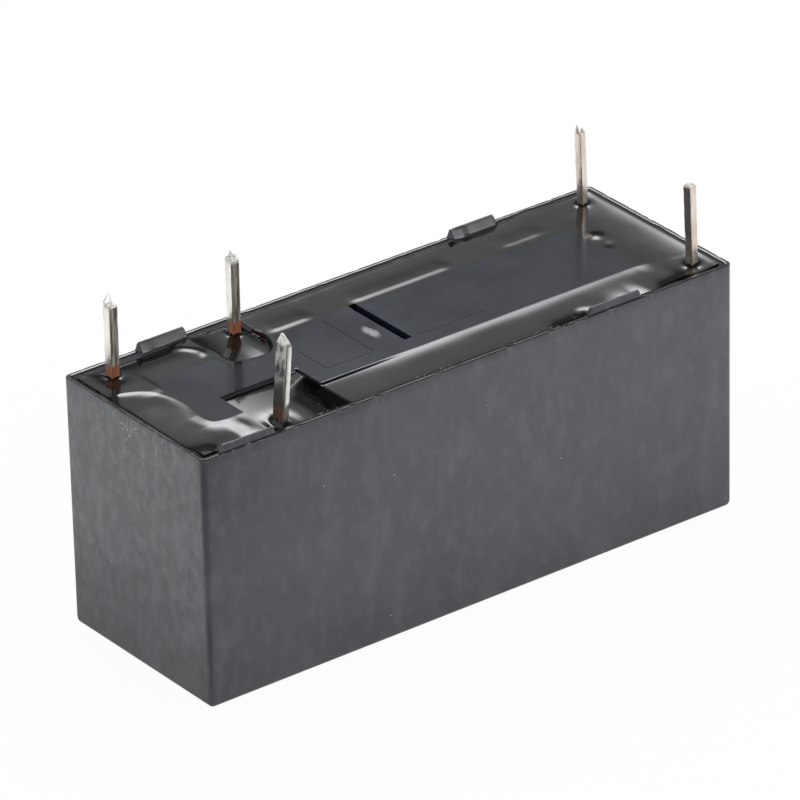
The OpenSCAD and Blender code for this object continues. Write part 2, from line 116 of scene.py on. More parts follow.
# Sizes and colours that a user would change
class CaseSizes(bpy.types.PropertyGroup):
    """Sizes of the case's skin, in millimetres, and its colours."""

    standoff_h: FloatProperty(name="Standoff height", description="Height above the rim", default=0.35)
    wall: FloatProperty(name="Wall", description="Thickness of the side walls", default=0.45)
    face: FloatProperty(name="Closed face", description="Thickness of the closed face", default=0.6)
    edge: FloatProperty(name="Edge radius", description="Radius of the outer edges", default=0.3)
    draft: FloatProperty(name="Draft", description="Lean of each wall between rim and foot", default=0.04)
    land: FloatProperty(name="Standoff land", description="Width of a standoff's flat top", default=0.22)
    slope: FloatProperty(name="Standoff slope", description="Run of a standoff's sloping ends", default=0.12)
    setback: FloatProperty(name="Standoff setback", description="Step back at a standoff", default=0.03)
    bevel: FloatProperty(name="Rim bevel", description="Rounding of the rim's edges", default=0.05)
    chamfer: FloatProperty(name="Rim chamfer", description="Width of the inner chamfer", default=0.22)
    nick: FloatProperty(name="Nick depth", description="Deepest nick along the rim", default=0.06)
    step: FloatProperty(name="Rim step", description="Spacing of the points along the rim", default=0.12)
    colour: StringProperty(name="Plastic", description="Colour of the case, sRGB hex", default="#424347")
    cloud: StringProperty(name="Clouds", description="Colour of its clouds, sRGB hex", default="#4b4c50")
    flash_count: IntProperty(name="Flash flakes", description="Flakes along the near rim", default=52)
    flash_size: FloatProperty(name="Flash size", description="Length of a flake of flash", default=0.15)


class ResinSizes(bpy.types.PropertyGroup):
    """Sizes of the sealing resin's surface, in millimetres, and its colours."""

    grid: FloatProperty(name="Grid", description="Spacing of the surface's points", default=0.075)
    fine: FloatProperty(name="Fine grid", description="Spacing round the open pin", default=0.04)
    pool: FloatProperty(name="Pool drop", description="Depth of the pools below the panel", default=0.06)
    reach: FloatProperty(name="Meniscus reach", description="Reach at the panel's edge", default=0.37)
    pin_rise: FloatProperty(name="Pin rise", description="Meniscus height at the pins", default=0.18)
    pin_reach: FloatProperty(name="Pin reach", description="Meniscus reach at the pins", default=0.13)
    wall_rise: FloatProperty(name="Wall rise", description="Meniscus height at the walls", default=0.045)
    wall_reach: FloatProperty(name="Wall reach", description="Meniscus reach at the walls", default=0.3)
    ripple: FloatProperty(name="Ripple", description="Height of the slow waves in the surface", default=0.008)
    colour: StringProperty(name="Resin", description="Colour of the resin, sRGB hex", default="#060708")
    cloud: StringProperty(name="Clouds", description="Colour of its clouds, sRGB hex", default="#0d0e10")


class PinSizes(bpy.types.PropertyGroup):
    """Sizes of the pins' skins, in millimetres."""

    corner: FloatProperty(name="Corner", description="Rounding of the pins' edges", default=0.05)
    ring_step: FloatProperty(name="Ring step", description="Spacing of its sections", default=0.08)
    coat: FloatProperty(name="Coat", description="Unevenness of the dipped tin", default=0.012)
    wire_corner: FloatProperty(name="Wire corner", description="Rounding of coil pins' edges", default=0.022)
    band_high: FloatProperty(name="Band top", description="Height where the tin starts", default=12.42)


class PanelSizes(bpy.types.PropertyGroup):
    """Sizes of the marks on the panel, in millimetres, and its colours."""

    bevel: FloatProperty(name="Edge bevel", description="Rounding of the panel's edges", default=0.03)
    line_w: FloatProperty(name="Mould line", description="Width of the raised mould lines", default=0.05)
    smear_t: FloatProperty(name="Smear height", description="Height beside the vent slot", default=0.008)
    colour: StringProperty(name="Panel", description="Colour of the panel, sRGB hex", default="#131923")
    cloud: StringProperty(name="Clouds", description="Colour of its clouds, sRGB hex", default="#1a212d")


class StageSizes(bpy.types.PropertyGroup):
    """Floor, light and camera, in metres, with the lens in millimetres."""

    floor: FloatProperty(name="Floor", description="Half side of the floor", default=1.5, unit="LENGTH")
    softbox: FloatProperty(name="Softbox", description="Side of the softbox", default=0.3, unit="LENGTH")
    reach: FloatProperty(name="Distance", description="Distance of both lamps", default=0.6, unit="LENGTH")
    radiance: FloatProperty(name="Softbox radiance", description="Radiance at its middle", default=8.0)
    fill: FloatProperty(name="Fill", description="Side of the fill light", default=0.45, unit="LENGTH")
    fill_radiance: FloatProperty(name="Fill radiance", description="Radiance at its middle", default=3.0)
    ambient: FloatProperty(name="Ambient", description="Strength of the room's light", default=0.8)
    lens: FloatProperty(name="Lens", description="Focal length", default=373.6, unit="CAMERA")


# Small helpers
def hex_linear(code):
    """Linear colour with alpha from an sRGB hex value."""
    parts = [int(code[i : i + 2], 16) / 255 for i in (1, 3, 5)]
    return [p / 12.92 if p <= 0.04045 else ((p + 0.055) / 1.055) ** 2.4 for p in parts] + [1.0]


def smooth(low, high, value):
    """Smooth step from 0 at low to 1 at high, on arrays."""
    t = np.clip((value - low) / (high - low), 0, 1)
    return t * t * (3 - 2 * t)


def mound(x, y, centre, radius):
    """Rounded bump of height 1 on arrays, with a radius for each axis."""
    return np.exp(-(((x - centre[0]) / radius[0]) ** 2) - ((y - centre[1]) / radius[1]) ** 2)


def spline(points, count=8):
    """Smooth path through given points."""
    ends = [points[0], *points, points[-1]]
    path = []
    for p0, p1, p2, p3 in zip(ends, ends[1:], ends[2:], ends[3:]):
        p0, p1, p2, p3 = (np.array(p, float) for p in (p0, p1, p2, p3))
        for t in np.arange(count) / count:
            bend = (2 * p0 - 5 * p1 + 4 * p2 - p3) * t**2 + (3 * p1 - p0 - 3 * p2 + p3) * t**3
            path.append(tuple(0.5 * (2 * p1 + (p2 - p0) * t + bend)))
    return path + [tuple(points[-1])]


def distance_to_path(x, y, path):
    """Distance from each point of two arrays to a path."""
    best = np.full(x.shape, np.inf)
    for (ax, ay), (bx, by) in zip(path, path[1:]):
        dx, dy = bx - ax, by - ay
        t = np.clip(((x - ax) * dx + (y - ay) * dy) / (dx * dx + dy * dy), 0, 1)
        best = np.minimum(best, np.hypot(x - ax - t * dx, y - ay - t * dy))
    return best


def inside_path(x, y, path):
    """Whether each point of two arrays lies inside a closed path."""
    inside = np.zeros(x.shape, bool)
    for (ax, ay), (bx, by) in zip(path, path[1:] + path[:1]):
        if ay != by:
            crosses = (ay > y) != (by > y)
            inside ^= crosses & (x < (bx - ax) * (y - ay) / (by - ay) + ax)
    return inside


def slow_noise(x, y, size, shift):
    """Smooth noise on arrays, with waves of about the given size."""
    flat = [noise.noise(Vector((a / size, b / size, shift))) for a, b in zip(x.ravel(), y.ravel())]
    return np.array(flat).reshape(x.shape)


def uneven(x, y, waves, shift):
    """Noise from about -1 to 1 at a place, with so many waves to the millimetre."""
    return noise.noise(Vector((x * waves, y * waves, shift)))


def new_mesh(name, points, faces, material, sharp_angle=40):
    """Mesh object from points in millimetres, smooth apart from its sharp edges."""
    mesh = bpy.data.meshes.new(name)
    mesh.from_pydata([Vector(p) * MM for p in points], [], faces)
    return dress(name, mesh, material, sharp_angle)


def dress(name, mesh, material, sharp_angle=40):
    """Object for a finished mesh, with its material and smooth faces."""
    mesh.name = name
    mesh.materials.clear()
    mesh.materials.append(material)
    mesh.polygons.foreach_set("use_smooth", [True] * len(mesh.polygons))
    mesh.set_sharp_from_angle(angle=math.radians(sharp_angle))
    obj = bpy.data.objects.new(name, mesh)
    bpy.context.scene.collection.objects.link(obj)
    return obj


def merged_copy(node):
    """Edit mesh of a solid, with its loose triangles joined and its flat faces whole."""
    source = frame["nodes"][node].data
    edit = bmesh.new()
    points = [edit.verts.new(v.co) for v in source.vertices]
    for polygon in source.polygons:
        edit.faces.new([points[i] for i in polygon.vertices])
    bmesh.ops.remove_doubles(edit, verts=edit.verts, dist=0.001 * MM)
    bmesh.ops.dissolve_limit(
        edit, angle_limit=math.radians(0.5), verts=edit.verts, edges=edit.edges, use_dissolve_boundaries=False
    )
    return edit


def place(obj, slot, *nodes):
    """Rides a finished piece on the housing, in the place of the solids that it stands for."""
    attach(obj, BODY)
    if nodes:
        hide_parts(*nodes)


# Materials
def add_node(tree, kind, inputs=None, **settings):
    """Adds a node, sets its properties, and sets or links its inputs."""
    node = tree.nodes.new(kind)
    for key, value in settings.items():
        setattr(node, key, value)
    for key, value in (inputs or {}).items():
        if isinstance(value, bpy.types.NodeSocket):
            tree.links.new(value, node.inputs[key])
        else:
            node.inputs[key].default_value = value
    return node


# What calc works out: the node with its settings, its inputs in the order given, and its output
CALCS = {
    "range": ("ShaderNodeMapRange", {"interpolation_type": "SMOOTHSTEP"}, (0, 1, 2, 3, 4), 0),
    "mix": ("ShaderNodeMix", {"data_type": "RGBA"}, (0, 6, 7), 2),
    "level": ("ShaderNodeMix", {"data_type": "FLOAT"}, (0, 2, 3), 0),
    "times": ("ShaderNodeMath", {"operation": "MULTIPLY"}, (0, 1), 0),
    "times_plus": ("ShaderNodeMath", {"operation": "MULTIPLY_ADD"}, (0, 1, 2), 0),
    "most": ("ShaderNodeMath", {"operation": "MAXIMUM"}, (0, 1), 0),
    "along": ("ShaderNodeVectorMath", {"operation": "DOT_PRODUCT"}, (0, 1), 1),
    "length": ("ShaderNodeVectorMath", {"operation": "LENGTH"}, (0,), 1),
    "stretched": ("ShaderNodeVectorMath", {"operation": "MULTIPLY"}, (0, 1), 0),
    "less": ("ShaderNodeVectorMath", {"operation": "SUBTRACT"}, (0, 1), 0),
    "unsigned": ("ShaderNodeVectorMath", {"operation": "ABSOLUTE"}, (0,), 0),
    "outer": ("ShaderNodeVectorMath", {"operation": "MAXIMUM"}, (0, 1), 0),
}


def calc(tree, what, *values):
    """Socket with what the table above works out from sockets and plain values."""
    kind, settings, order, output = CALCS[what]
    return add_node(tree, kind, dict(zip(order, values)), **settings).outputs[output]


def per_mm(size):
    """Texture scale for a pattern of this size in millimetres."""
    return 1 / (size * MM)


def grain(tree, coords, size, stretch=(1, 1, 1), detail=3.0):
    """Pattern of cloudy grains of a size in millimetres, drawn out along the axes, from 0 to 1."""
    drawn = add_node(tree, "ShaderNodeMapping", {"Vector": coords, "Scale": [1 / s for s in stretch]})
    inputs = {"Vector": drawn.outputs[0], "Scale": per_mm(size), "Detail": detail}
    return add_node(tree, "ShaderNodeTexNoise", inputs).outputs["Fac"]


def toned(tree, pattern, low, high, first, second):
    """Colour that goes from one hex value to another over a stretch of a pattern."""
    return calc(tree, "mix", calc(tree, "range", pattern, low, high), hex_linear(first), hex_linear(second))


def start_material(name, **sockets):
    """Material with its shader, whose plain sockets are set directly, and its object coordinates."""
    material = bpy.data.materials.new(name)
    material.use_nodes = True
    tree = material.node_tree
    tree.nodes.clear()
    plain = {key.replace("_", " "): value for key, value in sockets.items()}
    shader = add_node(tree, "ShaderNodeBsdfPrincipled", plain)
    add_node(tree, "ShaderNodeOutputMaterial", {"Surface": shader.outputs[0]})
    return material, tree, shader, add_node(tree, "ShaderNodeTexCoord").outputs["Object"]


def finish(shader, colour, roughness, relief=None, depth=0.0):
    """Links a colour, a roughness and a relief of a depth in millimetres to a shader."""
    tree = shader.id_data
    tree.links.new(colour, shader.inputs["Base Color"])
    tree.links.new(roughness, shader.inputs["Roughness"])
    if relief is not None:
        bump = add_node(tree, "ShaderNodeBump", {"Height": relief, "Distance": depth * MM, "Strength": 1.0})
        tree.links.new(bump.outputs[0], shader.inputs["Normal"])


def clouded(shader, pattern, span, colours, rough, relief=None, depth=0.0):
    """Finish whose two colours and two roughnesses both follow a pattern."""
    tree = shader.id_data
    colour = toned(tree, pattern, *span, *colours)
    finish(shader, colour, calc(tree, "range", pattern, 0.3, 0.7, *rough), relief, depth)


# Bluish tints of the plastics' and the resin's reflections
COOL = (0.95, 0.97, 1.0, 1.0)
COOLER = (0.89, 0.93, 1.0, 1.0)
# Unevenness of the case's colour: size, stretch along the walls, detail, range, strength and colour
# of its mottling, its draw lines and the marks of handling
CASE_TONES = (
    (0.5, 1.6, 4.0, 0.45, 0.75, 0.6, "#56575b"),
    (1.1, 9, 3.0, 0.52, 0.72, 0.3, "#56565a"),
    (1.2, 1.8, 7.0, 0.48, 0.7, 0.42, "#5d5e62"),
)


def charcoal_case(sizes):
    """Moulded polyester with glass fibre: satin, a little cloudy, with draw lines, dust and scuffs."""
    material, tree, shader, coords = start_material(
        "moulded_polyester_charcoal", IOR=1.65, Specular_Tint=COOL
    )
    x, y, z = add_node(tree, "ShaderNodeSeparateXYZ", {"Vector": coords}).outputs
    rim = rim_height(sizes)

    def between(value, *stops):
        """1 between the two inner stops, in millimetres, and 0 outside the outer two."""
        low, rise, drop, high = (stop * MM for stop in stops)
        rising = calc(tree, "range", value, low, rise)
        return calc(tree, "times", rising, calc(tree, "range", value, high, drop))

    cloud = grain(tree, coords, 5.0, detail=5.0)
    body = toned(tree, cloud, 0.3, 0.7, sizes.colour, sizes.cloud)
    for size, stretch, detail, low, high, strength, tone in CASE_TONES:
        marks = grain(tree, coords, size, (1, 1, stretch), detail)
        body = calc(tree, "mix", calc(tree, "range", marks, low, high, 0.0, strength), body, hex_linear(tone))
    # The rim is painted nearly black and made glossier
    dark_rim_band = between(z, rim - 0.06, rim - 0.02, rim + 0.02, rim + 0.04)
    body = calc(tree, "mix", calc(tree, "times", dark_rim_band, 0.95), body, hex_linear("#08080a"))
    # Wear scattered over the contact end
    on_end = calc(tree, "range", x, (CASE_LOW[0] + 0.05) * MM, (CASE_LOW[0] + 0.02) * MM)
    rubbed = calc(tree, "range", grain(tree, coords, 0.45, (1, 1, 1.5), 8.0), 0.38, 0.68, 0.0, 0.4)
    body = calc(tree, "mix", calc(tree, "times", on_end, rubbed), body, hex_linear("#727377"))
    # Hairline scuffs on that end, below the middle of its rim
    below_rim = between(z, rim - 2.8, rim - 0.3, rim - 0.2, rim - 0.04)
    middle = between(y, -4.4, -0.6, 0.8, 3.6)
    hairs = calc(tree, "range", grain(tree, coords, 0.07, (1, 1, 1.7), 6.0), 0.5, 0.72)
    patchy = calc(tree, "range", grain(tree, coords, 0.7, (1, 1, 1.6), 6.0), 0.4, 0.68)
    scuff = on_end
    for share in (below_rim, middle, hairs, patchy):
        scuff = calc(tree, "times", scuff, share)
    # Dust all over
    inputs = {"Vector": coords, "Scale": per_mm(0.8), "Randomness": 1.0}
    cells = add_node(tree, "ShaderNodeTexVoronoi", inputs)
    speck = calc(tree, "range", cells.outputs["Distance"], 0.06, 0.03)
    strewn = calc(tree, "range", grain(tree, coords, 1.3, detail=1.0), 0.56, 0.66, 0.0, 0.6)
    pale = calc(tree, "most", scuff, calc(tree, "times", speck, strewn))
    colour = calc(tree, "mix", pale, body, hex_linear("#c4c4c3"))
    satin = calc(tree, "range", cloud, 0.3, 0.7, 0.3, 0.42)
    finish(shader, colour, calc(tree, "times_plus", dark_rim_band, -0.2, satin), grain(tree, coords, 0.08), 0.002)
    return material


def black_base(sizes):
    """Moulded polyester off a polished tool: black and glossy, a little blue in the reflections."""
    material, tree, shader, coords = start_material("moulded_polyester_black", IOR=1.35, Specular_Tint=COOLER)
    cloud = grain(tree, coords, 3.0, detail=4.0)
    tones = (sizes.colour, sizes.cloud)
    clouded(shader, cloud, (0.3, 0.7), tones, (0.13, 0.18), grain(tree, coords, 1.2), 0.002)
    return material


def cast_resin(sizes):
    """Epoxy casting resin, poured and set: black, wet-looking, with hardly any haze."""
    material, tree, shader, coords = start_material("epoxy_cast_black", IOR=1.52, Specular_Tint=COOL)
    cloud = grain(tree, coords, 1.5, detail=4.0)
    clouded(shader, cloud, (0.35, 0.7), (sizes.colour, sizes.cloud), (0.05, 0.1))
    return material


def tinned_metal(name, tin, sizes, band, torn_end, shine, cut=None):
    """Copper alloy dipped in tin: bright, streaked along the pin, with dull copper at the foot.

    cut tells of a face that is rough from the shears: the way across it, where it starts and is whole,
    its dark and light colours, its grain's size and stretch, and the height below which it is painted in
    shade.
    """
    material, tree, shader, coords = start_material(name)
    height = add_node(tree, "ShaderNodeSeparateXYZ", {"Vector": coords}).outputs["Z"]
    mottle = grain(tree, coords, 0.35, (1, 1, 3), 4.0)
    streak = grain(tree, coords, 0.07, (1, 1, 20), 3.0)
    body = toned(tree, mottle, 0.35, 0.7, tin[0], tin[1])
    body = calc(tree, "mix", calc(tree, "range", streak, 0.55, 0.75, 0.0, 0.4), body, hex_linear(tin[2]))
    face = 0.0
    if cut:
        way, start, whole, dark, light, size, stretch, painted_shade_top = cut
        face = calc(tree, "range", calc(tree, "along", coords, way), start * MM, whole * MM)
        torn = calc(tree, "range", grain(tree, coords, size, (1, 1, stretch), 4.0), 0.4, 0.66)
        # Painted shade: below that height the face keeps its dark colour, for the dark panel that it mirrors
        # there
        bright = calc(tree, "range", height, painted_shade_top * MM, (painted_shade_top + 0.9) * MM)
        rough = calc(tree, "mix", calc(tree, "times", torn, bright), hex_linear(dark), hex_linear(light))
        body = calc(tree, "mix", face, body, rough)
    # Torn metal at the end
    end = calc(tree, "range", height, (TIP_Z - torn_end) * MM, (TIP_Z - 0.7 * torn_end) * MM)
    broken = toned(tree, grain(tree, coords, 0.07, detail=2.0), 0.34, 0.46, "#8f8d88", "#f2f1ec")
    body = calc(tree, "mix", end, body, broken)
    dull = calc(tree, "most", face, end)
    # Stained copper up to a ragged edge
    ragged = calc(tree, "times_plus", mottle, 0.25 * MM, height)
    edge = sizes.band_high + 0.12
    bare = calc(tree, "range", ragged, (edge + 0.06) * MM, (edge - 0.06) * MM, 0.0, band)
    stain = toned(tree, streak, 0.35, 0.65, "#8c4a30", "#b9714c")
    matt = calc(tree, "most", calc(tree, "times", dull, 0.75), bare)
    tree.links.new(calc(tree, "range", matt, 0.0, 1.0, 1.0, 0.15), shader.inputs["Metallic"])
    rougher = calc(tree, "times_plus", dull, 0.25, calc(tree, "range", mottle, 0.3, 0.7, *shine))
    finish(shader, calc(tree, "mix", bare, body, stain), rougher, mottle, 0.012)
    return material


def rolled_metal(name, first, second, roughness, size=0.08):
    """Rolled or turned metal: fine lines along the work and a soft sheen."""
    material, tree, shader, coords = start_material(name, Metallic=1.0)
    lines = grain(tree, coords, size, (1, 12, 1), 3.0)
    colour = toned(tree, grain(tree, coords, 1.5), 0.3, 0.7, first, second)
    sheen = calc(tree, "range", lines, 0.3, 0.7, roughness - 0.06, roughness + 0.08)
    finish(shader, colour, sheen, lines, 0.004)
    return material


def natural_polyester(name, first, second):
    """Unfilled moulded polyester: creamy, satin, slightly cloudy."""
    material, tree, shader, coords = start_material(name, IOR=1.55, Subsurface_Weight=0.05)
    cloud = grain(tree, coords, 2.5, detail=4.0)
    clouded(shader, cloud, (0.3, 0.7), (first, second), (0.36, 0.5), grain(tree, coords, 0.08), 0.004)
    return material


def enamelled_wire():
    """Enamelled copper wire, wound: red-brown turns side by side, drawn coarser than the real 0.05 mm."""
    material, tree, shader, coords = start_material("copper_wire_enamelled", Metallic=0.85, Coat_Weight=0.6)
    # The wave node has a band every 2 pi / 20 units, so the turns are drawn 0.88 mm apart
    inputs = {"Vector": coords, "Scale": per_mm(0.14) / 20, "Distortion": 0.6, "Detail": 1.0}
    turns = add_node(tree, "ShaderNodeTexWave", inputs, bands_direction="X").outputs["Fac"]
    colour = calc(tree, "mix", turns, hex_linear("#5e2812"), hex_linear("#b5622f"))
    finish(shader, colour, calc(tree, "range", turns, 0.0, 1.0, 0.42, 0.28), turns, 0.03)
    return material


def amber_film():
    """Polyester film tape: thin, amber and glossy, with faint lap lines."""
    material, tree, shader, coords = start_material("polyester_film_amber", IOR=1.6)
    laps = grain(tree, coords, 0.5, (1, 8, 8), 2.0)
    clouded(shader, laps, (0.35, 0.7), ("#b8892a", "#d3a645"), (0.12, 0.24), laps, 0.008)
    return material


def pale_smear():
    """Dried sealant wiped thin on the panel: chalky in the middle, fading out to the bare gloss."""
    material, tree, shader, coords = start_material("sealant_dried_pale", IOR=1.47)
    inputs = {"Vector": coords, "Location": [-v * MM for v in (*SMEAR, PANEL_Z)]}
    centred = add_node(tree, "ShaderNodeMapping", inputs).outputs[0]
    radius = calc(tree, "length", calc(tree, "stretched", centred, [v / MM for v in SMEAR_FADE]))
    patch = grain(tree, coords, 0.3, detail=5.0)
    ragged = calc(tree, "times_plus", patch, -1.3, radius)
    cover = calc(tree, "range", ragged, 0.25, -0.35, 0.0, 0.85)
    colour = calc(tree, "mix", cover, hex_linear("#171d28"), hex_linear("#9c9fa8"))
    finish(shader, colour, calc(tree, "range", cover, 0.0, 0.6, 0.11, 0.5), patch, 0.006)
    return material


def pale_flash():
    """Thin moulding flash, stretched until it turned pale: whitish and matt."""
    material, tree, shader, coords = start_material("polyester_flash_pale", IOR=1.5)
    clouded(shader, grain(tree, coords, 0.1), (0.35, 0.65), ("#4d4d50", "#9b9b9b"), (0.4, 0.6))
    return material


# Case
def rim_height(sizes):
    """Height of the case's rim, which the standoffs rise above."""
    return CASE_HIGH[2] - sizes.standoff_h


def standoff_spans(side):
    """Middle and length of each standoff on one long side, from the contact end."""
    near = [(COM_X - 2.52, 2.85), (COIL_X - 5.15, 2.85)]
    far = [(COM_X + 0.07, 2.6), (COIL_X - 5.4, 2.6)]
    return near if side < 0 else far


def rim_share(x, side, slope):
    """How far the rim has risen to a standoff's top at a place along a long side, from 0 to 1."""
    best = 0.0
    for middle, length in standoff_spans(side):
        best = max(best, min(1.0, max(0.0, (length / 2 - abs(x - middle)) / slope)))
    return best


def side_points(side, limit, sizes):
    """Places along a long side, closer together at the ends of the standoffs."""
    places = list(np.arange(-limit, limit, sizes.step)) + [limit]
    for middle, length in standoff_spans(side):
        for end in (-1, 1):
            corner = middle + end * length / 2
            top = corner - end * sizes.slope
            places += [spot + off for spot in (corner, top) for off in (0.02, -0.02)]
    places = sorted(places)
    return [a for a, b in zip(places, places[1:] + [math.inf]) if b - a > 0.005]


def rim_samples(sizes):
    """Walk round the case: for each sample, its point for an inset, its rim's height and its land."""
    half_l, half_w = CASE_HIGH[0], CASE_HIGH[1]
    rim = rim_height(sizes)
    limit_x = half_l - sizes.wall - sizes.edge
    limit_y = half_w - sizes.wall - sizes.edge

    def along_x(x, side):
        share = rim_share(x, side, sizes.slope)
        top = rim + share * sizes.standoff_h
        land = sizes.wall + share * (sizes.land - sizes.wall)
        return (lambda inset: (x, side * (half_w - inset))), top, land

    def along_y(y, side):
        return (lambda inset: (side * (half_l - inset), y)), rim, sizes.wall

    def corner(sx, sy, angle):
        def point(inset):
            radius = max(sizes.edge - inset, 0.06)
            x = sx * (half_l - inset - radius) + radius * math.cos(angle)
            y = sy * (half_w - inset - radius) + radius * math.sin(angle)
            return x, y

        return point, rim, sizes.wall

    near = [along_x(x, -1) for x in side_points(-1, limit_x, sizes)]
    far = [along_x(x, 1) for x in reversed(side_points(1, limit_x, sizes))]
    short = list(np.linspace(-limit_y, limit_y, round(2 * limit_y / sizes.step)))
    right = [along_y(y, 1) for y in short]
    left = [along_y(y, -1) for y in reversed(short)]
    walk = []
    steps = np.linspace(0, math.pi / 2, 9)
    sides = ((near, 1, -1, -0.5), (right, 1, 1, 0.0), (far, -1, 1, 0.5), (left, -1, -1, 1.0))
    for row, sx, sy, start in sides:
        walk += row + [corner(sx, sy, start * math.pi + a) for a in steps]
    return walk


def build_case(sizes, material):
    """Case shell as one loft: closed face, rounded foot, drafted walls, rim with standoffs, and cavity."""
    rim = rim_height(sizes)
    b = sizes.bevel
    points = []
    walk = rim_samples(sizes)
    fillet = [
        (sizes.draft + sizes.edge * (1 - math.sin(a)), sizes.edge * (1 - math.cos(a)))
        for a in np.linspace(0, math.pi / 2, 6)
    ]
    wall = [(sizes.draft * (1 - z / rim), z) for z in np.linspace(1.5, rim - 0.5, 8)]
    for point, top, land in walk:
        x, y = point(0)
        nick = sizes.nick * max(0.0, uneven(x, y, 1.3, 9.0) - 0.25) * 2
        chip = sizes.nick * max(0.0, uneven(x, y, 3.7, 2.0) - 0.2)
        inner = land + 0.03 * uneven(x, y, 2.1, 4.0)
        share = (top - rim) / sizes.standoff_h
        step = b + chip + 0.01 + share * max(0.0, sizes.setback - b)
        slope = sizes.chamfer * (1 - share) + b * share
        # Inset and height of each point, from the foot over the rim to the cavity's floor
        column = [
            *fillet,
            *wall,
            (0.0, rim - b - chip),
            (0.3 * b + chip, rim - 0.3 * b - chip),
            (b + chip, rim - 0.5 * chip),
            (step, rim + 0.02 * share),
            (step + 0.005, top - b * share),
            (step + 0.3 * b, top - 0.3 * b * share),
            (step + b, top - 0.2 * chip),
            (inner - slope - nick, top - 0.3 * nick),
            (inner - 0.6 * slope, top - 0.25 * slope - nick),
            (inner, top - 0.8 * slope - nick),
            (sizes.wall + 0.005, rim - 1.2 * sizes.chamfer * (1 - share) - nick),
            (sizes.wall + sizes.draft, sizes.face),
        ]
        points += [(*point(inset), z) for inset, z in column]
    rows = len(column)
    count = len(walk)
    faces = []
    for i in range(count):
        j = (i + 1) % count
        for k in range(rows - 1):
            faces.append((i * rows + k, j * rows + k, j * rows + k + 1, i * rows + k + 1))
    faces.append([i * rows for i in reversed(range(count))])
    faces.append([i * rows + rows - 1 for i in range(count)])
    return new_mesh("case_shell", points, faces, material, sharp_angle=35)


# Node trees for the flakes of flash along the near rim and for the mould lines on the panel

# Stretch of the near rim that has flash, and the share of its flakes that is kept
FLASH_SPAN, FLAKE_SHARE = (-8.6, 4.6), 0.4
# Lowest and highest draw and seed of the flakes' shift in metres, of their turn and of their stretch
FLAKE_DRAWS = (
    ((-0.2 * MM, -0.04 * MM, -0.02 * MM), (0.2 * MM, 0.06 * MM, 0.01 * MM), 3),
    ((-0.5, -0.2, -0.5), (0.5, 0.2, 0.5), 5),
    ((0.3, 0.15, 0.1), (2.2, 0.5, 0.35), 8),
)


def start_tree(name, inputs, output):
    """Geometry tree with named inputs and one output, and the inputs' sockets."""
    tree = bpy.data.node_groups.new(name, "GeometryNodeTree")
    for label, kind in inputs.items():
        tree.interface.new_socket(label, in_out="INPUT", socket_type="NodeSocket" + kind)
    tree.interface.new_socket(output, in_out="OUTPUT", socket_type="NodeSocketGeometry")
    return tree, add_node(tree, "NodeGroupInput").outputs


def end_tree(tree, geometry, material):
    """Makes a tree's result real and gives it its material."""
    real = add_node(tree, "GeometryNodeRealizeInstances", {0: geometry})
    painted = add_node(tree, "GeometryNodeSetMaterial", {"Geometry": real.outputs[0], "Material": material})
    add_node(tree, "NodeGroupOutput", {0: painted.outputs[0]})
    return tree


def flash_tree(material):
    """Node tree that sets small flakes along a path, each turned and scaled by its own draw."""
    tree, group = start_tree("rim_flash", {"Path": "Geometry", "Count": "Int", "Size": "Float"}, "Flakes")
    curve = add_node(tree, "GeometryNodeMeshToCurve", {"Mesh": group["Path"]})
    even = add_node(tree, "GeometryNodeResampleCurve", {"Curve": curve.outputs[0], "Count": group["Count"]})
    draws = []
    for low, high, seed in FLAKE_DRAWS:
        inputs = {0: low, 1: high, "Seed": seed}
        draws.append(add_node(tree, "FunctionNodeRandomValue", inputs, data_type="FLOAT_VECTOR").outputs[0])
    shift, turn, stretch = draws
    inputs = {"Geometry": even.outputs[0], "Offset": shift}
    moved = add_node(tree, "GeometryNodeSetPosition", inputs)
    flake = add_node(tree, "GeometryNodeMeshIcoSphere", {"Radius": 0.5, "Subdivisions": 1})
    sized = add_node(tree, "ShaderNodeVectorMath", {0: stretch, "Scale": group["Size"]}, operation="SCALE")
    inputs = {"Probability": FLAKE_SHARE, "Seed": 11}
    keep = add_node(tree, "FunctionNodeRandomValue", inputs, data_type="BOOLEAN")
    inputs = {
        "Points": moved.outputs[0],
        "Selection": keep.outputs[3],
        "Instance": flake.outputs[0],
        "Rotation": turn,
        "Scale": sized.outputs[0],
    }
    return end_tree(tree, add_node(tree, "GeometryNodeInstanceOnPoints", inputs).outputs[0], material)


def line_tree(material):
    """Node tree that sweeps a small round bead along paths."""
    tree, group = start_tree("mould_lines", {"Paths": "Geometry", "Width": "Float"}, "Lines")
    curve = add_node(tree, "GeometryNodeMeshToCurve", {"Mesh": group["Paths"]})
    inputs = {"Curve": curve.outputs[0], "Length": 0.1 * MM}
    even = add_node(tree, "GeometryNodeResampleCurve", inputs, mode="LENGTH")
    inputs = {"Resolution": 8, "Radius": calc(tree, "times", group["Width"], 0.5)}
    ring = add_node(tree, "GeometryNodeCurvePrimitiveCircle", inputs, mode="RADIUS")
    inputs = {"Curve": even.outputs[0], "Profile Curve": ring.outputs[0], "Fill Caps": True}
    return end_tree(tree, add_node(tree, "GeometryNodeCurveToMesh", inputs).outputs[0], material)


def path_mesh(name, paths):
    """Mesh of bare edges along paths in millimetres."""
    points = []
    edges = []
    for path in paths:
        start = len(points)
        points += [Vector(p) * MM for p in path]
        edges += [(i, i + 1) for i in range(start, len(points) - 1)]
    mesh = bpy.data.meshes.new(name)
    mesh.from_pydata(points, edges, [])
    return mesh


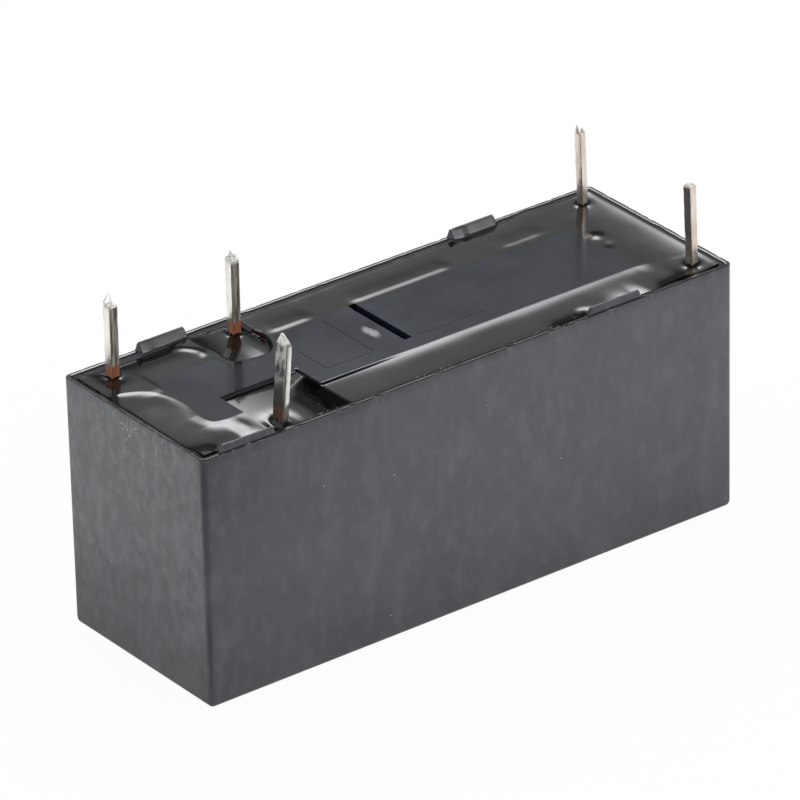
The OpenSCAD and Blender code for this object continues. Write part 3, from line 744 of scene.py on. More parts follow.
def made_by_nodes(name, paths, tree, values):
    """Plain mesh object from a node tree run on paths, with its inputs set by identifier."""
    source = bpy.data.objects.new(name + "_path", path_mesh(name + "_path", paths))
    bpy.context.scene.collection.objects.link(source)
    modifier = source.modifiers.new(name, "NODES")
    modifier.node_group = tree
    for item in tree.interface.items_tree:
        if item.in_out == "INPUT" and item.name in values:
            modifier[item.identifier] = values[item.name]
    evaluated = source.evaluated_get(bpy.context.evaluated_depsgraph_get())
    mesh = bpy.data.meshes.new_from_object(evaluated)
    source.modifiers.remove(modifier)
    bpy.data.objects.remove(source)
    if not mesh.polygons:
        raise RuntimeError(f"{name} came out empty")
    mesh.name = name
    obj = bpy.data.objects.new(name, mesh)
    bpy.context.scene.collection.objects.link(obj)
    return obj


# Base
def build_base(sizes, material):
    """Base with its panel, its top edges rounded as the moulding's are."""
    edit = merged_copy("base")
    edges = []
    for edge in edit.edges:
        high = all(v.co.z > (PANEL_Z - 0.2) * MM for v in edge.verts)
        if high and edge.is_manifold and edge.calc_face_angle() > math.radians(30):
            edges.append(edge)
    width = sizes.bevel * MM
    bmesh.ops.bevel(
        edit, geom=edges, offset=width, segments=2, profile=0.5, affect="EDGES", clamp_overlap=True
    )
    mesh = bpy.data.meshes.new("base_panel")
    edit.to_mesh(mesh)
    edit.free()
    obj = dress("base_panel", mesh, material, sharp_angle=35)
    for polygon in mesh.polygons:
        if abs(polygon.normal.z) > 0.9999:
            polygon.use_smooth = False
    return obj


# Places of the panel's outline and marks
PANEL_X0 = NC[0] + 1.05
PANEL_X1 = COIL_X - 2.0
PANEL_EDGE = 2.4
SLOT_X0 = (PANEL_X0 + PANEL_X1) / 2 - 0.7
SLOT_X1 = SLOT_X0 + 0.38
POCKET_X0 = COM_X - 0.88
POCKET_X1 = COM_X + 3.17
POCKET_Y = -0.7
ARCH_X0 = NO[0] - 2.0
ARCH_X1 = NO[0] + 0.9
ARCH_Y = 1.25


def mould_paths():
    """Lines that the mould's inserts left on the panel."""
    z = PANEL_Z - 0.008
    frame_left, frame_right, foot = -5.1, -2.6, -1.45
    outline = [(frame_left, 1.2, z), (frame_left, foot, z), (frame_right, foot, z), (frame_right, 2.2, z)]
    shelf = [(SLOT_X1 + 0.5, foot, z), (3.4, foot, z)]
    return [outline, shelf]


# The smear's middle, its half sizes, and 1 over the half sizes of its fade
SMEAR, SMEAR_HALF, SMEAR_FADE = (-1.62, 0.05), (0.36, 0.85), (3.1, 1.35, 0.0)


def build_smear(sizes, material):
    """Thin irregular patch beside the vent slot."""
    rings, spokes = 7, 36
    points = [(*SMEAR, PANEL_Z + sizes.smear_t)]
    for ring in range(1, rings + 1):
        share = ring / rings
        for spoke in range(spokes):
            angle = 2 * math.pi * spoke / spokes
            wobble = 1 + 0.35 * uneven(math.cos(angle), math.sin(angle), 1.4, 7.0)
            x = SMEAR[0] + SMEAR_HALF[0] * wobble * share * math.cos(angle)
            y = SMEAR[1] + SMEAR_HALF[1] * wobble * share * math.sin(angle)
            grit = 0.2 * uneven(x, y, 6, 1.0)
            points.append((x, y, PANEL_Z + sizes.smear_t * ((1 - share**2) * (1 + grit)) - 0.002))
    faces = [(0, 1 + s, 1 + (s + 1) % spokes) for s in range(spokes)]
    for ring in range(rings - 1):
        for spoke in range(spokes):
            a = 1 + ring * spokes + spoke
            b = 1 + ring * spokes + (spoke + 1) % spokes
            faces.append((a, a + spokes, b + spokes, b))
    under = len(points)
    points += [(x, y, PANEL_Z - 0.02) for x, y, _ in points[-spokes:]]
    rim = under - spokes
    for spoke in range(spokes):
        after = (spoke + 1) % spokes
        faces.append((rim + spoke, under + spoke, under + after, rim + after))
    faces.append([under + s for s in reversed(range(spokes))])
    return new_mesh("vent_smear", points, faces, material, sharp_angle=60)


# Resin

# Points along the pools' edge at the contact end and at the coil end
TONGUE = [(-13.2, 2.22), (-12.4, 1.75), (-11.95, 1.1), (-11.74, 0.3), (-11.76, -0.6), (-11.92, -1.4)]
TONGUE_FOOT = [TONGUE[-1], (-11.84, -2.1), (-11.5, -2.44), (-10.6, -2.46)]
TAIL = [(12.0, -2.55), (13.0, -2.8)]
# How far that edge runs on past the walls
PAST = 0.1


def pool_edge():
    """Line where the raised surface drops into the near pools, from the left wall to the right."""
    tongue = spline([(-IN_X - PAST, 2.3), *TONGUE])
    foot = spline([*TONGUE_FOOT, (POCKET_X0, -PANEL_EDGE - 0.06)])
    pocket = [(POCKET_X0, POCKET_Y), (POCKET_X1, POCKET_Y), (POCKET_X1, -PANEL_EDGE)]
    tail = spline([(PANEL_X1, -PANEL_EDGE), *TAIL, (IN_X + PAST, -3.1)])
    return tongue[:-1] + foot + pocket + tail


def pin_distance(x, y, centre, half):
    """Distance to a pin, taken as the oval round its section."""
    share = np.hypot((x - centre[0]) / half[0], (y - centre[1]) / half[1])
    return np.maximum(share - 1, 0) * math.sqrt(half[0] * half[1])


# Pins in the resin: place, half sizes, and the height and spread of the meniscus against their sizes
PIN_PLACES = [
    ((NC[0], ROW_Y), FIXED_HALF, 0.3, 0.75),
    ((NO[0], ROW_Y), FIXED_HALF, 0.2, 0.75),
    ((COM_X, -ROW_Y), COMMON_HALF, 0.2, 1.0),
    ((COIL_X, -ROW_Y), WIRE_HALF, 0.8, 1.0),
    ((COIL_X, ROW_Y), WIRE_HALF, 0.6, 0.8),
]


def window(v, low, high, soft):
    """1 between two values on an array, fading outside over a soft stretch."""
    return smooth(low - soft, low + soft, v) * smooth(high + soft, high - soft, v)


# Beads along the panel's far edge: start, end, softness and strength
FAR_BEADS = ((-4.9, -2.8, 0.4, 1.0), (-0.5, 4.7, 0.4, 1.0), (7.7, 9.9, 0.5, 0.8))
# Dip at the closed pin, stub of the gate and the dip beside it: height, centre and radii
LAND_MOUNDS = (
    (-0.07, (NC[0] - 0.1, ROW_Y - 0.2), (0.5, 0.55)),
    (0.04, (11.5, 1.0), (0.3, 0.3)),
    (-0.02, (11.4, 0.05), (0.3, 0.3)),
)
# Middle and radii of the bowl at the open pin
BOWL, BOWL_R = (-6.65, 2.75), (1.25, 1.33)


def land_height(x, y, top):
    """Resin level with the panel: beads on its far edge, a bowl at the open pin, the gate, the coil end."""
    bead = np.zeros_like(x)
    for start, end, soft, strength in FAR_BEADS:
        bead = np.maximum(bead, strength * window(x, start, end, soft))
    land = top + 0.024 * bead * smooth(2.5, 2.9, y) * (1 - 0.85 * smooth(2.95, 4.0, y))
    for height, centre, radius in LAND_MOUNDS:
        land = land + height * mound(x, y, centre, radius)
    # Contact end: it falls to the far wall, and has a raised shelf and a winding ridge
    land = land - 0.08 * window(x, -13.0, -8.9, 0.5) * np.clip((y - 3.0) / 1.3, 0, None) ** 2
    shelf = smooth(-13.3, -12.0, x) * smooth(PANEL_X0 - 0.05, PANEL_X0 - 0.25, x)
    land = land + 0.016 * shelf * smooth(1.1, 1.7, y) * smooth(3.6, 2.5, y)
    winding = 0.35 * np.sin(2.2 * (y - 2.4)) - 8.72
    land = land + 0.03 * np.exp(-(((x - winding) / 0.2) ** 2)) * window(y, 2.85, 4.1, 0.25)
    # Bowl at the open pin, deepest at its near edge
    dx, dy = x - BOWL[0], y - BOWL[1]
    angle = np.arctan2(dy, dx)
    wobble = 1 + 0.05 * np.sin(3 * angle + 0.7) + 0.04 * np.sin(5 * angle + 2.0)
    bowl_round = (dx / (BOWL_R[0] * wobble)) ** 4 + (np.minimum(dy, 0) / (BOWL_R[1] * wobble)) ** 4
    bowl = np.clip((1.16 - bowl_round) / 0.32, 0, 1)
    back = y - 1.3
    flanks = 0.1 * np.clip(x + 6.3, 0, None) ** 2 - 0.05 * np.clip(-6.7 - x, 0, None) ** 2
    land = land - (0.17 - 0.075 * back + 0.018 * back**2 + flanks) * bowl
    # Shallow trough at the coil end
    trough = mound(x, np.zeros_like(y), (12.2, 0.0), (0.8, 1.0))
    return land - 0.02 * trough * smooth(3.6, 2.6, y)


def pocket_floor(x, y):
    """Depth of the common pin's pocket, which falls off to the right into a crater."""
    slant = np.clip((x - POCKET_X0) / 2.4, 0, 1)
    fall = np.clip(POCKET_Y - y, 0, None)
    floor = 0.17 - 0.06 * (1.6 * slant - 0.6 * slant**2) + 0.026 * (1 - 0.7 * slant) * fall
    floor = floor + 0.22 * mound(x, y, (COM_X - 0.05, -ROW_Y), (0.45, 0.6))
    back = np.clip(y - POCKET_Y + 0.15 + 0.2 * (x - POCKET_X0), 0, None)
    floor = floor + 0.09 * back * smooth(-6.6, -7.4, x)
    crater_edge = -1.15 - 0.4 * (POCKET_X1 - x)
    floor = floor + 0.075 * np.clip(x + 8.5, 0, None) ** 2 * smooth(0.0, 0.8, crater_edge - y)
    return np.where(x > POCKET_X1 - 0.06, 0.07, floor)


def pool_depth(x, y, away, sizes):
    """Depth of the pools below the land, at places that lie a distance away from the pools' edge."""
    tongue = smooth(-10.9, -11.6, x)
    swell = 0.5 * mound(x, y, (-13.0, 2.0), (0.7, 0.5)) + mound(x, y, (-11.9, -1.8), (0.5, 0.6))
    reach = sizes.reach * (1 - tongue * (0.62 - 0.3 * swell))
    wet = smooth(-5.5, -0.5, x)
    slope = sizes.pool / sizes.reach * np.maximum(0.3 + 0.7 * wet, tongue)
    slope = slope * (1 - 0.85 * smooth(10.8, 12.0, x))
    depth = slope * reach * (1 - np.exp(-away / reach)) + 0.07 * (1 - wet) * (x > POCKET_X1 - 0.05)
    low = np.clip(0.5 - y, 0, 4)
    depth = depth + tongue * (0.022 * low - 0.0025 * low**2) * (1 - np.exp(-away / 0.6))
    # Wedges between the panel and the near standoffs
    wedge = smooth(-13.1, -11.5, x + 0.35 * (y + 2.4)) * smooth(-9.8, -10.3, x)
    depth = depth + wedge * 0.035 * np.clip(-2.4 - y, 0, None)
    depth = depth - 0.014 * mound(x, y, (-10.8, -3.2), (0.22, 0.5))
    behind = smooth(6.9, 8.6, x) * smooth(10.2, 9.3, x)
    depth = depth + behind * 0.03 * np.clip(-2.7 - y, 0, None) ** 2
    # Gutters along the near standoffs
    for middle, length in standoff_spans(-1):
        lip = window(x, middle - length / 2 + 0.4, middle + length / 2 - 0.3, 0.35)
        depth = depth + 0.03 * lip * np.exp(-np.clip(y + 4.15, 0, None) / 0.2)
    in_pocket = (x > POCKET_X0) & (x < POCKET_X1)
    depth = np.where(in_pocket, pocket_floor(x, y), depth)
    # Pit at the end of the near right standoff
    return depth + 0.3 * mound(x, y, (6.5, -4.75), (0.35, 0.5))


def resin_height(x, y, sizes, rim):
    """Height of the set resin over arrays of places: land, pools, menisci and slow waves."""
    top = PANEL_Z + 0.004
    edge = pool_edge()
    pools = edge + [(IN_X + PAST, -IN_Y - PAST), (-IN_X - PAST, -IN_Y - PAST)]
    depth = pool_depth(x, y, distance_to_path(x, y, edge), sizes)
    depth = np.minimum(depth, top - MOAT_Z - 0.06)
    height = land_height(x, y, top) - np.where(inside_path(x, y, pools), depth, 0.0)

    # Menisci at the walls, higher at the coil end, in two stretches of the near wall and in its left corner
    end = np.maximum(IN_X - x, 0)
    height = height + 1.6 * sizes.wall_rise * np.exp(-end / 0.5)
    side = np.maximum(np.minimum(IN_X + x, IN_Y - np.abs(y)), 0)
    climb = 0.3 + 1.2 * (y < 0) * np.maximum(window(x, 4.6, 6.4, 0.5), window(x, 10.4, 12.4, 0.5))
    height = height + climb * sizes.wall_rise * np.exp(-side / sizes.wall_reach)
    height = height + 0.05 * np.exp(-np.maximum(y + IN_Y, 0) / 0.8) * window(x, 10.6, 12.2, 0.5)
    height = height + 0.3 * np.exp(-np.hypot(0.7 * (x + IN_X), y + IN_Y) / 0.45)
    height = height + sizes.ripple * slow_noise(x, y, 2.4, 3.0)
    height = np.minimum(height, rim - 0.015)
    # Menisci at the pins
    for centre, half, crest, spread in PIN_PLACES:
        ring = pin_distance(x, y, centre, half)
        share = np.exp(-ring / (spread * sizes.pin_reach))
        height = height + (PANEL_Z + crest * sizes.pin_rise - height) * share
    return height


def under_panel(x, y, margin):
    """Places that the panel's top face covers, by at least a margin."""
    plate = (x > PANEL_X0 + margin) & (x < PANEL_X1 - margin) & (np.abs(y) < PANEL_EDGE - margin)
    pocket = (x > POCKET_X0 - margin) & (x < POCKET_X1 + margin) & (y < POCKET_Y + margin)
    arch = (x > ARCH_X0 - margin) & (x < ARCH_X1 + margin) & (y > ARCH_Y - margin)
    slot = (x > SLOT_X0) & (x < SLOT_X1) & (y > -1.4) & (y < 2.6)
    return plate & ~pocket & ~arch | slot


def grid_lines(start, fine_start, fine_end, end, sizes):
    """Lines of the resin's grid along one axis, closer together in the stretch round the open pin's bowl."""
    stops = (start, fine_start, fine_end, end)
    lines = [
        np.linspace(low, high, round((high - low) / step) + 1)[:-1]
        for low, high, step in zip(stops, stops[1:], (sizes.grid, sizes.fine, sizes.grid))
    ]
    return np.concatenate([*lines, [end]])


def build_resin(sizes, rim, material):
    """Set resin as a closed sheet: its own surface above and the moat's floor below."""
    over = 0.03
    xs = grid_lines(-IN_X - over, NO[0] - 2.3, NO[0] + 1.2, IN_X + over, sizes)
    ys = grid_lines(-IN_Y - over, ARCH_Y - 0.2, IN_Y + over, IN_Y + over, sizes)
    x, y = np.meshgrid(xs, ys, indexing="ij")
    z = resin_height(x, y, sizes, rim)
    cx = (x[1:, 1:] + x[:-1, :-1]) / 2
    cy = (y[1:, 1:] + y[:-1, :-1]) / 2
    cells = ~under_panel(cx, cy, 0.07)
    rows = len(ys)
    count = x.size
    points = np.column_stack([x.ravel(), y.ravel(), z.ravel()])
    floor = np.column_stack([x.ravel(), y.ravel(), np.full(count, MOAT_Z + 0.02)])
    faces = []
    for i, j in zip(*np.nonzero(cells)):
        a, b, c, d = i * rows + j, (i + 1) * rows + j, (i + 1) * rows + j + 1, i * rows + j + 1
        faces.append((a, b, c, d))
        faces.append((d + count, c + count, b + count, a + count))
        for (p, q), (di, dj) in (((a, b), (0, -1)), ((b, c), (1, 0)), ((c, d), (0, 1)), ((d, a), (-1, 0))):
            m, n = i + di, j + dj
            if not (0 <= m < cells.shape[0] and 0 <= n < cells.shape[1] and cells[m, n]):
                faces.append((q, p, p + count, q + count))
    used = np.zeros(2 * count, bool)
    for face in faces:
        used[list(face)] = True
    renumber = np.cumsum(used) - 1
    kept = np.vstack([points, floor])[used]
    faces = [[int(renumber[i]) for i in face] for face in faces]
    return new_mesh("sealing_resin", kept.tolist(), faces, material, sharp_angle=50)


# Pins
def section(half_x, half_y, corner, steps=4):
    """Rounded rectangle round the origin."""
    outline = []
    for sx, sy, start in ((1, 1, 0.0), (-1, 1, 0.5), (-1, -1, 1.0), (1, -1, 1.5)):
        for step in range(steps + 1):
            angle = (start + 0.5 * step / steps) * math.pi
            x = sx * (half_x - corner) + corner * math.cos(angle)
            y = sy * (half_y - corner) + corner * math.sin(angle)
            outline.append((x, y))
    return outline


def loft(rings):
    """Points and faces of a closed skin through rings of points."""
    count = len(rings[0])
    points = [p for ring in rings for p in ring]
    faces = []
    for r in range(len(rings) - 1):
        for i in range(count):
            j = (i + 1) % count
            faces.append((r * count + i, r * count + j, (r + 1) * count + j, (r + 1) * count + i))
    faces.append(list(reversed(range(count))))
    faces.append([(len(rings) - 1) * count + i for i in range(count)])
    return points, faces


# Least half size of a pin's section
THINNEST = 0.012


def pin_rings(place_xy, half, top, lean, twist, edge, tip, sizes, seed):
    """Sections of a pin's skin from under the resin up. tip gives size and shift over the last stretch."""
    rings = []
    foot = MOAT_Z + 0.1
    stretch, shape = tip
    turn_c, turn_s = math.cos(math.radians(twist)), math.sin(math.radians(twist))
    heights = list(np.arange(foot, top - stretch, sizes.ring_step))
    heights += [top - stretch + stretch * t for t in np.linspace(0, 1, 9)]
    for z in heights:
        share = max(0.0, (z - (top - stretch)) / stretch)
        grow_x, grow_y, shift_x, shift_y = shape(share)
        coat = sizes.coat * noise.noise(Vector((seed, 0.0, z * 1.7)))
        sway = 0.5 * sizes.coat * noise.noise(Vector((seed, 5.0, z * 1.1)))
        hx = max((half[0] + coat) * grow_x, THINNEST)
        hy = max((half[1] + coat) * grow_y, THINNEST)
        corner = min(edge, 0.9 * hx, 0.9 * hy)
        x = place_xy[0] + math.tan(math.radians(lean)) * max(0.0, z - PANEL_Z) + sway + shift_x * half[0]
        y = place_xy[1] + shift_y * half[1]
        ring = []
        for px, py in section(hx, hy, corner):
            grit = 0.4 * sizes.coat * noise.noise(Vector((px * 9 + seed, py * 9, z * 6)))
            px, py = px * (1 + grit / half[0]), py * (1 + grit / half[1])
            ring.append((x + px * turn_c - py * turn_s, y + px * turn_s + py * turn_c, z))
        rings.append(ring)
    return rings


def chisel(share):
    """Sheared point: a slanted facet towards the near left, the peak behind it."""
    return 1 - 0.7 * share, 1 - 0.78 * share, 0.55 * share, 0.7 * share


def blunt(share):
    """Rounded end."""
    swell = math.sqrt(max(0.0, 1 - share**2))
    return 0.25 + 0.75 * swell, 0.25 + 0.75 * swell, 0.0, 0.0


def sheared(share):
    """Cut end with broken edges."""
    return 1 - 0.28 * share**2, 1 - 0.3 * share**2, 0.05 * share, 0.06 * share


def spike(base, reach, width, seed):
    """Thin torn burr from a base point, bent along its reach."""
    rings = []
    for share in np.linspace(0, 1, 7):
        bend = 0.02 * noise.noise(Vector((seed, share * 3, 1.0)))
        middle = [b + r * share for b, r in zip(base, reach)]
        hx, hy = (max(w * (1 - share) ** 0.8, THINNEST / 2) for w in width)
        outline = section(hx, hy, 0.4 * min(hx, hy), 2)
        rings.append([(middle[0] + bend + px, middle[1] + py, middle[2]) for px, py in outline])
    return loft(rings)


def joined(parts):
    """One list of points and faces from several."""
    points, faces = [], []
    for part_points, part_faces in parts:
        start = len(points)
        points += part_points
        faces += [[i + start for i in face] for face in part_faces]
    return points, faces


def buried_part(node):
    """The solid below the resin's surface, as points in millimetres and faces."""
    edit = merged_copy(node)
    geometry = list(edit.verts) + list(edit.edges) + list(edit.faces)
    cut = bmesh.ops.bisect_plane(
        edit, geom=geometry, plane_co=(0, 0, (MOAT_Z + 0.2) * MM), plane_no=(0, 0, 1), clear_outer=True
    )
    rim = [e for e in cut["geom_cut"] if isinstance(e, bmesh.types.BMEdge)]
    bmesh.ops.edgeloop_fill(edit, edges=rim)
    edit.verts.index_update()
    points = [tuple(v.co / MM) for v in edit.verts]
    faces = [[v.index for v in face.verts] for face in edit.faces]
    edit.free()
    return points, faces


def build_pin(name, node, spot, half, top, turns, tip, burrs, sizes, material, seed):
    """A terminal: the solid below the resin, the dipped pin above it and the burrs on its tip."""
    skin = loft(pin_rings(spot, half, top, *turns, tip, sizes, seed))
    parts = [buried_part(node), skin] + [spike(*burr, seed + i) for i, burr in enumerate(burrs)]
    points, faces = joined(parts)
    return new_mesh(name, points, faces, material, sharp_angle=45)


# Stage

# Ways from the part to the softbox, the fill light and the bright wall, and the camera's way over the floor
SOFTBOX_WAY = (0.43, 0.592, 0.682)
FILL_WAY = (0.63, -0.6, 0.49)
BACK_WAY = (-0.53, 0.709, 0.4656)
VIEW_WAY = (0.6, 0.8, 0.0)
WHITE = (1, 1, 1, 1)


def floor_material():
    """White paper: matt, nearly even white to the camera, and in reflections painted dimmer on the camera's
    side, a painted shadow.
    """
    material = bpy.data.materials.new("paper_white")
    material.use_nodes = True
    tree = material.node_tree
    tree.nodes.clear()
    coords = add_node(tree, "ShaderNodeTexCoord").outputs["Object"]
    # Painted shadow on the camera's side, seen in reflections
    lit = calc(tree, "range", calc(tree, "along", coords, VIEW_WAY), -26 * MM, -9 * MM, 0.06, 1.0)
    # Painted shadow close to the case, dimmer in reflections
    size = (CASE_HIGH[0] * MM, CASE_HIGH[1] * MM, 1.0)
    outside = calc(tree, "less", calc(tree, "unsigned", coords), size)
    gap = calc(tree, "length", calc(tree, "outer", outside, (0, 0, 0)))
    lit = calc(tree, "times", lit, calc(tree, "range", gap, 0.0, 12 * MM, 0.5, 1.0))
    # A painted shadow at the near left corner, dark in reflections, draws that edge of the case
    axes = add_node(tree, "ShaderNodeSeparateXYZ", {"Vector": coords}).outputs
    left, front = (calc(tree, "range", axes[i], CASE_LOW[i] * MM, (CASE_LOW[i] - 1.5) * MM) for i in (0, 1))
    painted_corner_shadow = calc(tree, "range", calc(tree, "times", left, front), 0.0, 1.0, 1.0, 0.03)
    lit = calc(tree, "times", lit, painted_corner_shadow)
    # White to the camera, lit as above in reflections, and paper for all other light
    paper = add_node(tree, "ShaderNodeBsdfDiffuse", {"Color": hex_linear("#f2f2f2")})
    path = add_node(tree, "ShaderNodeLightPath").outputs
    mirrored = path["Is Glossy Ray"]
    level = calc(tree, "level", mirrored, 1.0, lit)
    white = add_node(tree, "ShaderNodeEmission", {"Color": WHITE, "Strength": level})
    seen = calc(tree, "times", path["Is Camera Ray"], 0.955)
    clear = calc(tree, "most", mirrored, path["Is Transmission Ray"])
    share = calc(tree, "times_plus", clear, 0.95, seen)
    mix = add_node(tree, "ShaderNodeMixShader", {0: share, 1: paper.outputs[0], 2: white.outputs[0]})
    add_node(tree, "ShaderNodeOutputMaterial", {"Surface": mix.outputs[0]})
    return material


def build_world(ambient):
    """White for the camera, a dim room with brighter parts for reflections, even light for the rest."""
    world = bpy.data.worlds.new("white_room")
    bpy.context.scene.world = world
    world.use_nodes = True
    tree = world.node_tree
    tree.nodes.clear()
    path = add_node(tree, "ShaderNodeLightPath").outputs
    seen = calc(tree, "most", path["Is Camera Ray"], path["Is Transmission Ray"])
    direction = add_node(tree, "ShaderNodeTexCoord").outputs["Generated"]
    rise = add_node(tree, "ShaderNodeSeparateXYZ", {0: direction}).outputs["Z"]
    halo = calc(tree, "range", calc(tree, "along", direction, SOFTBOX_WAY), 0.905, 0.995, 0.1, 0.88)
    front = calc(tree, "range", calc(tree, "along", direction, VIEW_WAY), 0.3, -0.1, 0.0, 0.5)
    front = calc(tree, "times", front, calc(tree, "range", rise, 0.75, 0.6))
    wall = calc(tree, "range", calc(tree, "along", direction, BACK_WAY), 0.86, 0.97, 0.0, 0.8)
    room = calc(tree, "most", calc(tree, "most", halo, front), wall)
    strength = calc(tree, "level", seen, calc(tree, "level", path["Is Glossy Ray"], ambient, room), 1.0)
    background = add_node(tree, "ShaderNodeBackground", {"Color": WHITE, "Strength": strength})
    add_node(tree, "ShaderNodeOutputWorld", {"Surface": background.outputs[0]})


def soft_lamp(name, spot, aim, side, radiance):
    """Square softbox whose light fades towards its edge."""
    light = bpy.data.lights.new(name, "AREA")
    light.size = side
    light.energy = radiance * math.pi * side * side
    light.use_nodes = True
    tree = light.node_tree
    tree.nodes.clear()
    spread = add_node(tree, "ShaderNodeNewGeometry").outputs["Parametric"]
    radius = calc(tree, "length", calc(tree, "less", spread, (0.5, 0.5, 0.0)))
    fade = calc(tree, "range", radius, 0.5, 0.12)
    glow = add_node(tree, "ShaderNodeEmission", {"Color": WHITE, "Strength": fade})
    add_node(tree, "ShaderNodeOutputLight", {0: glow.outputs[0]})
    lamp = bpy.data.objects.new(name, light)
    lamp.location = spot
    lamp.visible_camera = False
    lamp.rotation_euler = (Vector(aim) - Vector(spot)).to_track_quat("-Z", "Y").to_euler()
    bpy.context.scene.collection.objects.link(lamp)


def build_camera(lens):
    """Camera at the photograph's place, its roll included."""
    camera = bpy.data.cameras.new("camera")
    camera.lens = lens
    camera.sensor_width = 36
    camera.clip_start = 0.01
    obj = bpy.data.objects.new("camera", camera)
    right = Vector((0.794176, -0.607328, -0.020896))
    down = Vector((-0.297561, -0.358665, -0.884769))
    forward = Vector((0.52985, 0.70888, -0.46556))
    spot = (-0.189631, -0.253454, 0.1745368)
    turn = Matrix((right, -down, -forward)).transposed()
    obj.matrix_world = Matrix.Translation(spot) @ turn.to_4x4()
    bpy.context.scene.collection.objects.link(obj)
    bpy.context.scene.camera = obj


# Operators
class RELAY_OT_case(bpy.types.Operator):
    """Builds the case shell with its standoffs."""

    bl_idname = "relay.case"
    bl_label = "Case"

    def execute(self, context):
        sizes = context.scene.relay_case
        place(build_case(sizes, charcoal_case(sizes)), "case_plastic", "case")
        return {"FINISHED"}


class RELAY_OT_flash(bpy.types.Operator):
    """Sets flakes of moulding flash along the near rim."""

    bl_idname = "relay.flash"
    bl_label = "Rim flash"

    def execute(self, context):
        sizes = context.scene.relay_case
        z = rim_height(sizes) - 0.01
        y = CASE_LOW[1] + sizes.wall - 0.8 * sizes.chamfer
        path = [(x, y, z) for x in np.linspace(*FLASH_SPAN, 40)]
        values = {"Count": sizes.flash_count, "Size": sizes.flash_size * MM}
        obj = made_by_nodes("rim_flash", [path], flash_tree(pale_flash()), values)
        place(obj, "case_plastic")
        return {"FINISHED"}


class RELAY_OT_base(bpy.types.Operator):
    """Builds the base with its panel."""

    bl_idname = "relay.base"
    bl_label = "Base"

    def execute(self, context):
        sizes = context.scene.relay_panel
        material = black_base(sizes)
        place(build_base(sizes, material), "base_plastic", "base")
        values = {"Width": sizes.line_w * MM}
        place(made_by_nodes("mould_lines", mould_paths(), line_tree(material), values), "base_plastic")
        place(build_smear(sizes, pale_smear()), "epoxy")
        return {"FINISHED"}


class RELAY_OT_resin(bpy.types.Operator):
    """Pours the sealing resin."""

    bl_idname = "relay.resin"
    bl_label = "Sealing resin"

    def execute(self, context):
        sizes = context.scene.relay_resin
        rim = rim_height(context.scene.relay_case)
        place(build_resin(sizes, rim, cast_resin(sizes)), "epoxy", "epoxy_seal")
        return {"FINISHED"}


class RELAY_OT_contact_pins(bpy.types.Operator):
    """Builds the three contact terminals with their pins."""

    bl_idname = "relay.contact_pins"
    bl_label = "Contact pins"

    def execute(self, context):
        sizes = context.scene.relay_pins
        tin = ("#f3f1ea", "#dedbd4", "#b4b0a8")
        row_cut = ((0, 1, 0), ROW_Y - 0.2, ROW_Y - 0.235, "#6a6157", "#bcb8b0", 0.11, 14, 0.0)
        lean = math.tan(math.radians(COM_LEAN))
        face = COM_X - lean * PANEL_Z
        # The common pin's cut face is painted in shade up to 1.2 mm over the panel
        plate_cut = ((1, 0, -lean), face - 0.1, face - 0.14, "#4c4c4b", "#c9c8c4", 0.3, 2, PANEL_Z + 1.2)
        shine = (0.18, 0.34)
        tall = tinned_metal("copper_tin_dipped", tin, sizes, 0.9, 0.7, shine, row_cut)
        short = tinned_metal("copper_tin_dipped_common", tin, sizes, 0.25, 0.6, shine, plate_cut)
        end = TIP_Z - 0.56
        tent = [
            ((NC[0] - 0.16, ROW_Y + 0.1, end - 0.1), (-0.07, 0.06, 0.32), (0.05, 0.05)),
            ((NC[0] - 0.22, ROW_Y + 0.15, end + 0.12), (0.18, -0.14, 0.44), (0.026, 0.03)),
            ((NC[0] + 0.06, ROW_Y - 0.05, end - 0.1), (-0.08, 0.06, 0.64), (0.03, 0.035)),
        ]
        torn = [
            ((NO[0] - 0.1, ROW_Y - 0.02, end + 0.14), (0.03, 0.0, 0.4), (0.1, 0.13)),
            ((NO[0] + 0.1, ROW_Y - 0.08, end + 0.12), (0.0, 0.03, 0.2), (0.1, 0.14)),
        ]
        cut = (0.15, sheared)
        # Name, foot, half sizes, top, lean and twist, tip, burrs, metal and seed of each pin
        com = (COM_X, -ROW_Y)
        pins = (
            ("nc", NC, FIXED_HALF, end, (0, 2), cut, tent, tall, 1.0),
            ("no", NO, FIXED_HALF, end + 0.2, (0, -3), cut, torn, tall, 2.0),
            ("com", com, COMMON_HALF, TIP_Z - 0.22, (COM_LEAN, 5), (0.36, chisel), [], short, 3.0),
        )
        for name, spot, half, top, turns, tip, burrs, metal, seed in pins:
            node = name + "_terminal"
            turns = (*turns, sizes.corner)
            pin = build_pin(name + "_pin", node, spot, half, top, turns, tip, burrs, sizes, metal, seed)
            place(pin, "tinned_copper", node)
        return {"FINISHED"}


